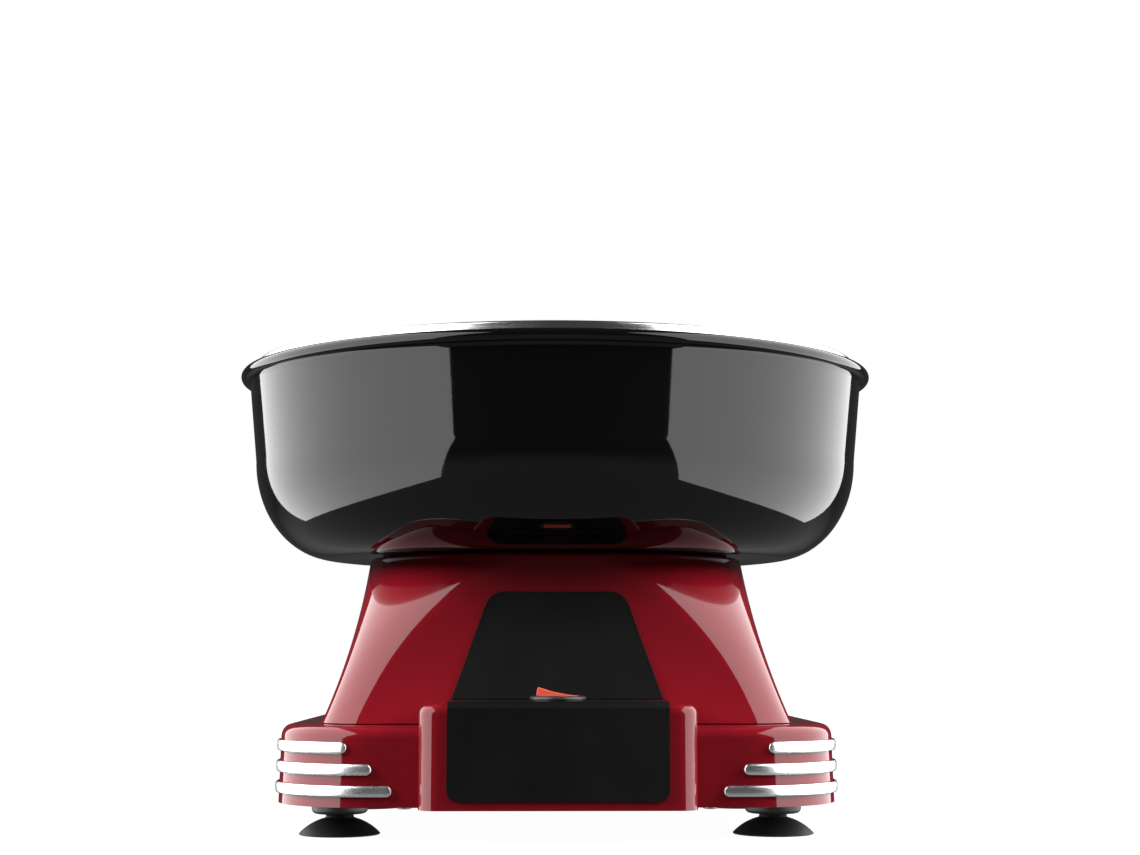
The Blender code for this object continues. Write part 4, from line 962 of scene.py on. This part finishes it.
def make_head():
    """The spinning head: the dish on the shaft, the slotted band and the cover."""
    bottom = low("head_dish").z
    post = 3.3 * MM
    wall = 39.2 * MM
    dish = [(post, bottom + 0.2 * MM), (post + 0.2 * MM, bottom), (12 * MM, bottom),
            (13 * MM, bottom + 0.5 * MM), (14 * MM, bottom + 1.4 * MM), (36 * MM, bottom + 3.7 * MM),
            (37.4 * MM, bottom + 4.3 * MM), (38.2 * MM, bottom + 5.4 * MM),
            (wall + 1.3 * MM, bottom + 10.2 * MM), (wall + 1.1 * MM, bottom + 10.7 * MM),
            (wall, bottom + 11 * MM), (36.4 * MM, bottom + 6 * MM), (35 * MM, bottom + 5.1 * MM),
            (14 * MM, bottom + 2.8 * MM), (8.2 * MM, bottom + 2.5 * MM), (7 * MM, bottom + 3.4 * MM),
            (7 * MM, bottom + 10.3 * MM), (6.6 * MM, bottom + 10.7 * MM),
            (post + 0.4 * MM, bottom + 10.7 * MM), (post, bottom + 10.3 * MM)]
    fine("head_dish", turned(dish, 128), angle=45)

    band_bottom, band_top = low("head_band").z, high("head_band").z
    band = new_object("head_band_finished",
                      turned([(wall - 0.2 * MM, band_bottom), (wall + 1.2 * MM, band_bottom),
                              (wall + 1.2 * MM, band_top), (wall - 0.2 * MM, band_top)], 144))
    middle = (band_bottom + band_top) / 2 - 0.4 * MM
    half_width, half_height, depth = 2.5 * MM, 4.2 * MM, 4 * MM
    squareness, steps = 0.4, 32
    outline = []
    for k in range(steps):
        a = 2 * math.pi * (k + 0.5) / steps
        y, z = [half * math.copysign(abs(part) ** squareness, part)
                for half, part in ((half_width, math.cos(a)), (half_height, math.sin(a)))]
        outline.append((y, z))
    slots = []
    for i in range(HEAD_SLOTS):
        slot = loft([[Vector((reach, y, z)) for y, z in outline] for reach in (-depth, depth)])
        moved(slot, (wall, 0, middle))
        bmesh.ops.rotate(slot, verts=slot.verts,
                         matrix=Matrix.Rotation(2 * math.pi * (i + 0.5) / HEAD_SLOTS, 3, "Z"))
        slots.append(slot)
    combine(band, "DIFFERENCE", gather(slots))
    finish_piece(band, "head_band", weighted=True)

    top = band_top + GAP
    rim = high("head_cover").x
    hole = 15 * MM
    cover = [(hole, top + 7.4 * MM), (hole, top + 6.6 * MM), (hole + 0.6 * MM, top + 6.2 * MM),
             (29.5 * MM, top + 4.7 * MM), (37.2 * MM, top + 1.8 * MM), (38.8 * MM, top),
             (wall + 1.5 * MM, top), (wall + 1.5 * MM, top - 2.8 * MM),
             (wall + 1.7 * MM, top - 3 * MM), (rim - 0.2 * MM, top - 3 * MM),
             (rim, top - 2.8 * MM), (rim, top + 0.2 * MM), (rim - 0.5 * MM, top + 1.2 * MM),
             (39.5 * MM, top + 3.1 * MM), (32 * MM, top + 5.9 * MM), (29 * MM, top + 6.5 * MM),
             (hole + 0.8 * MM, top + 7.7 * MM), (hole + 0.3 * MM, top + 7.65 * MM)]
    fine("head_cover", turned(cover, 128), angle=45)


make_lower_housing()
make_upper_housing()
make_bottom_cover()
make_panels()
make_strips()
make_feet()
make_switch()
make_fittings()
make_bowl()
make_heater()
make_seal()
make_head()

# The CAD pieces that still show get their material.
for node, thing in frame["nodes"].items():
    if not thing.hide_render:
        thing.data.materials.clear()
        thing.data.materials.append(MATERIALS[SLOTS[node]])


# ---------------- studio

SOFTBOX_RADIANCE = 3.6  # the two softboxes only show in reflections
SOFTBOX_FRONT = {"left": -1.45, "right": -1.31}  # y of the front edges
SOFTBOX_BACK = 1.1
SOFTBOX_BOTTOM = -0.74  # the glossy pieces mirror the boxes' lower ends as well
SOFTBOX_TOP = 1.5
SOFTBOX_ROLL = 0.08  # radians that each box turns in its own plane
SOFTBOX_REACH = 1.11  # distance from the axis at floor height
SOFTBOX_LEAN = 0.30  # metres nearer for each metre up
FILL_REACH = 1.6  # how far out the fills stand, which aren't reflected
FILL_Z = 1.0
FILL_WIDTH = 1.1
FILL_HEIGHT = 0.9
# name, direction x and y, radiance
FILLS = (("front", 0, -1, 3.4), ("back", 0, 1, 5.0),
         ("left", -1, -0.2, 21.0), ("right", 1, -0.2, 21.0))
ROOM_BELOW = 0.30  # brightness of the room in reflections, below the horizon
ROOM_ABOVE = 0.06
ROOM_EDGE = (-0.35, -0.15)  # sines of the elevations between which it changes
FLOOR_GLOW = (0.97, 1.0)  # near the object and far from it
FLOOR_FADE = (0.22, 0.6)  # distances from the axis between which it changes
CAMERA_PLACE = (-0.0085, -0.900, 0.073)
CAMERA_UP = 6.761  # degrees that the camera looks up
CAMERA_TURN = -0.974
CAMERA_LENS = 61.33  # millimetres, on a 36 mm sensor


def area_light(name, place, direction, size_x, size_y, radiance, roll=0.0):
    """A rectangular light that the camera doesn't see, of a radiance whatever its size."""
    light = bpy.data.lights.new(name, "AREA")
    light.shape = "RECTANGLE"
    light.size = size_x
    light.size_y = size_y
    light.energy = radiance * math.pi * size_x * size_y
    thing = bpy.data.objects.new(name, light)
    thing.location = place
    thing.rotation_mode = "QUATERNION"
    thing.rotation_quaternion = (Vector(direction).to_track_quat("-Z", "Y")
                                 @ Quaternion((0, 0, 1), roll))
    thing.visible_camera = False
    bpy.context.scene.collection.objects.link(thing)
    return thing


def make_lights():
    """A tall leaning softbox on each side for the reflections, and soft fills for the rest."""
    middle = (SOFTBOX_BOTTOM + SOFTBOX_TOP) / 2
    for side, sign in (("left", -1), ("right", 1)):
        front = SOFTBOX_FRONT[side]
        light = area_light("softbox_" + side,
                           (sign * (SOFTBOX_REACH - SOFTBOX_LEAN * middle),
                            (front + SOFTBOX_BACK) / 2, middle),
                           (-sign, 0, -SOFTBOX_LEAN), SOFTBOX_BACK - front,
                           (SOFTBOX_TOP - SOFTBOX_BOTTOM) * math.hypot(1, SOFTBOX_LEAN),
                           SOFTBOX_RADIANCE, sign * SOFTBOX_ROLL)
        light.visible_diffuse = False
    for name, x, y, radiance in FILLS:
        fill = area_light("fill_" + name, (FILL_REACH * x, FILL_REACH * y, FILL_Z),
                          (-x, -y, -FILL_Z / FILL_REACH), FILL_WIDTH, FILL_HEIGHT, radiance)
        fill.visible_glossy = False


def make_world():
    """A white studio as the camera sees it, which the gloss sees as a dim room."""
    world = bpy.data.worlds.new("studio")
    world.use_nodes = True
    bpy.context.scene.world = world
    nodes, links = world.node_tree.nodes, world.node_tree.links
    nodes.clear()
    seen = add_node(nodes, "ShaderNodeBackground", {"Color": (1, 1, 1, 1)})
    room = nodes.new("ShaderNodeBackground")
    coordinates = nodes.new("ShaderNodeTexCoord")
    parts = nodes.new("ShaderNodeSeparateXYZ")
    links.new(coordinates.outputs["Generated"], parts.inputs["Vector"])
    links.new(spread(nodes, links, parts.outputs["Z"], ROOM_BELOW, ROOM_ABOVE, *ROOM_EDGE),
              room.inputs["Strength"])
    path = nodes.new("ShaderNodeLightPath")
    mix = nodes.new("ShaderNodeMixShader")
    links.new(path.outputs["Is Camera Ray"], mix.inputs["Fac"])
    links.new(room.outputs["Background"], mix.inputs[1])
    links.new(seen.outputs["Background"], mix.inputs[2])
    output = nodes.new("ShaderNodeOutputWorld")
    links.new(mix.outputs["Shader"], output.inputs["Surface"])


def make_floor():
    """A floor that glows almost white and shows a faint shadow. It isn't reflected."""
    bm = bmesh.new()
    bmesh.ops.create_circle(bm, cap_ends=True, segments=96, radius=30)
    floor = new_object("floor", bm)
    made, nodes, links = nodes_of("pale_floor")
    shader = nodes["Principled BSDF"]
    set_inputs(shader, {"Base Color": (0.05, 0.05, 0.05, 1), "Roughness": 0.9,
                        "Emission Color": (1, 1, 1, 1)})
    around = turned_coordinates(nodes, links)
    parts = nodes.new("ShaderNodeSeparateXYZ")
    links.new(around, parts.inputs["Vector"])
    links.new(spread(nodes, links, parts.outputs["X"], *FLOOR_GLOW, *FLOOR_FADE),
              shader.inputs["Emission Strength"])
    floor.data.materials.append(made)
    floor.visible_glossy = False
    floor.visible_diffuse = False
    floor.visible_shadow = False


def make_camera():
    """A view from close and low in front of the machine, looking up at the bowl."""
    camera = bpy.data.cameras.new("camera")
    camera.sensor_width = 36
    camera.lens = CAMERA_LENS
    camera.clip_start = 0.01
    camera.clip_end = 100
    thing = bpy.data.objects.new("camera", camera)
    thing.location = CAMERA_PLACE
    thing.rotation_euler = (math.radians(90 + CAMERA_UP), 0, math.radians(CAMERA_TURN))
    bpy.context.scene.collection.objects.link(thing)
    bpy.context.scene.camera = thing


make_lights()
make_world()
make_floor()
make_camera()
bpy.context.scene.view_settings.view_transform = "Standard"
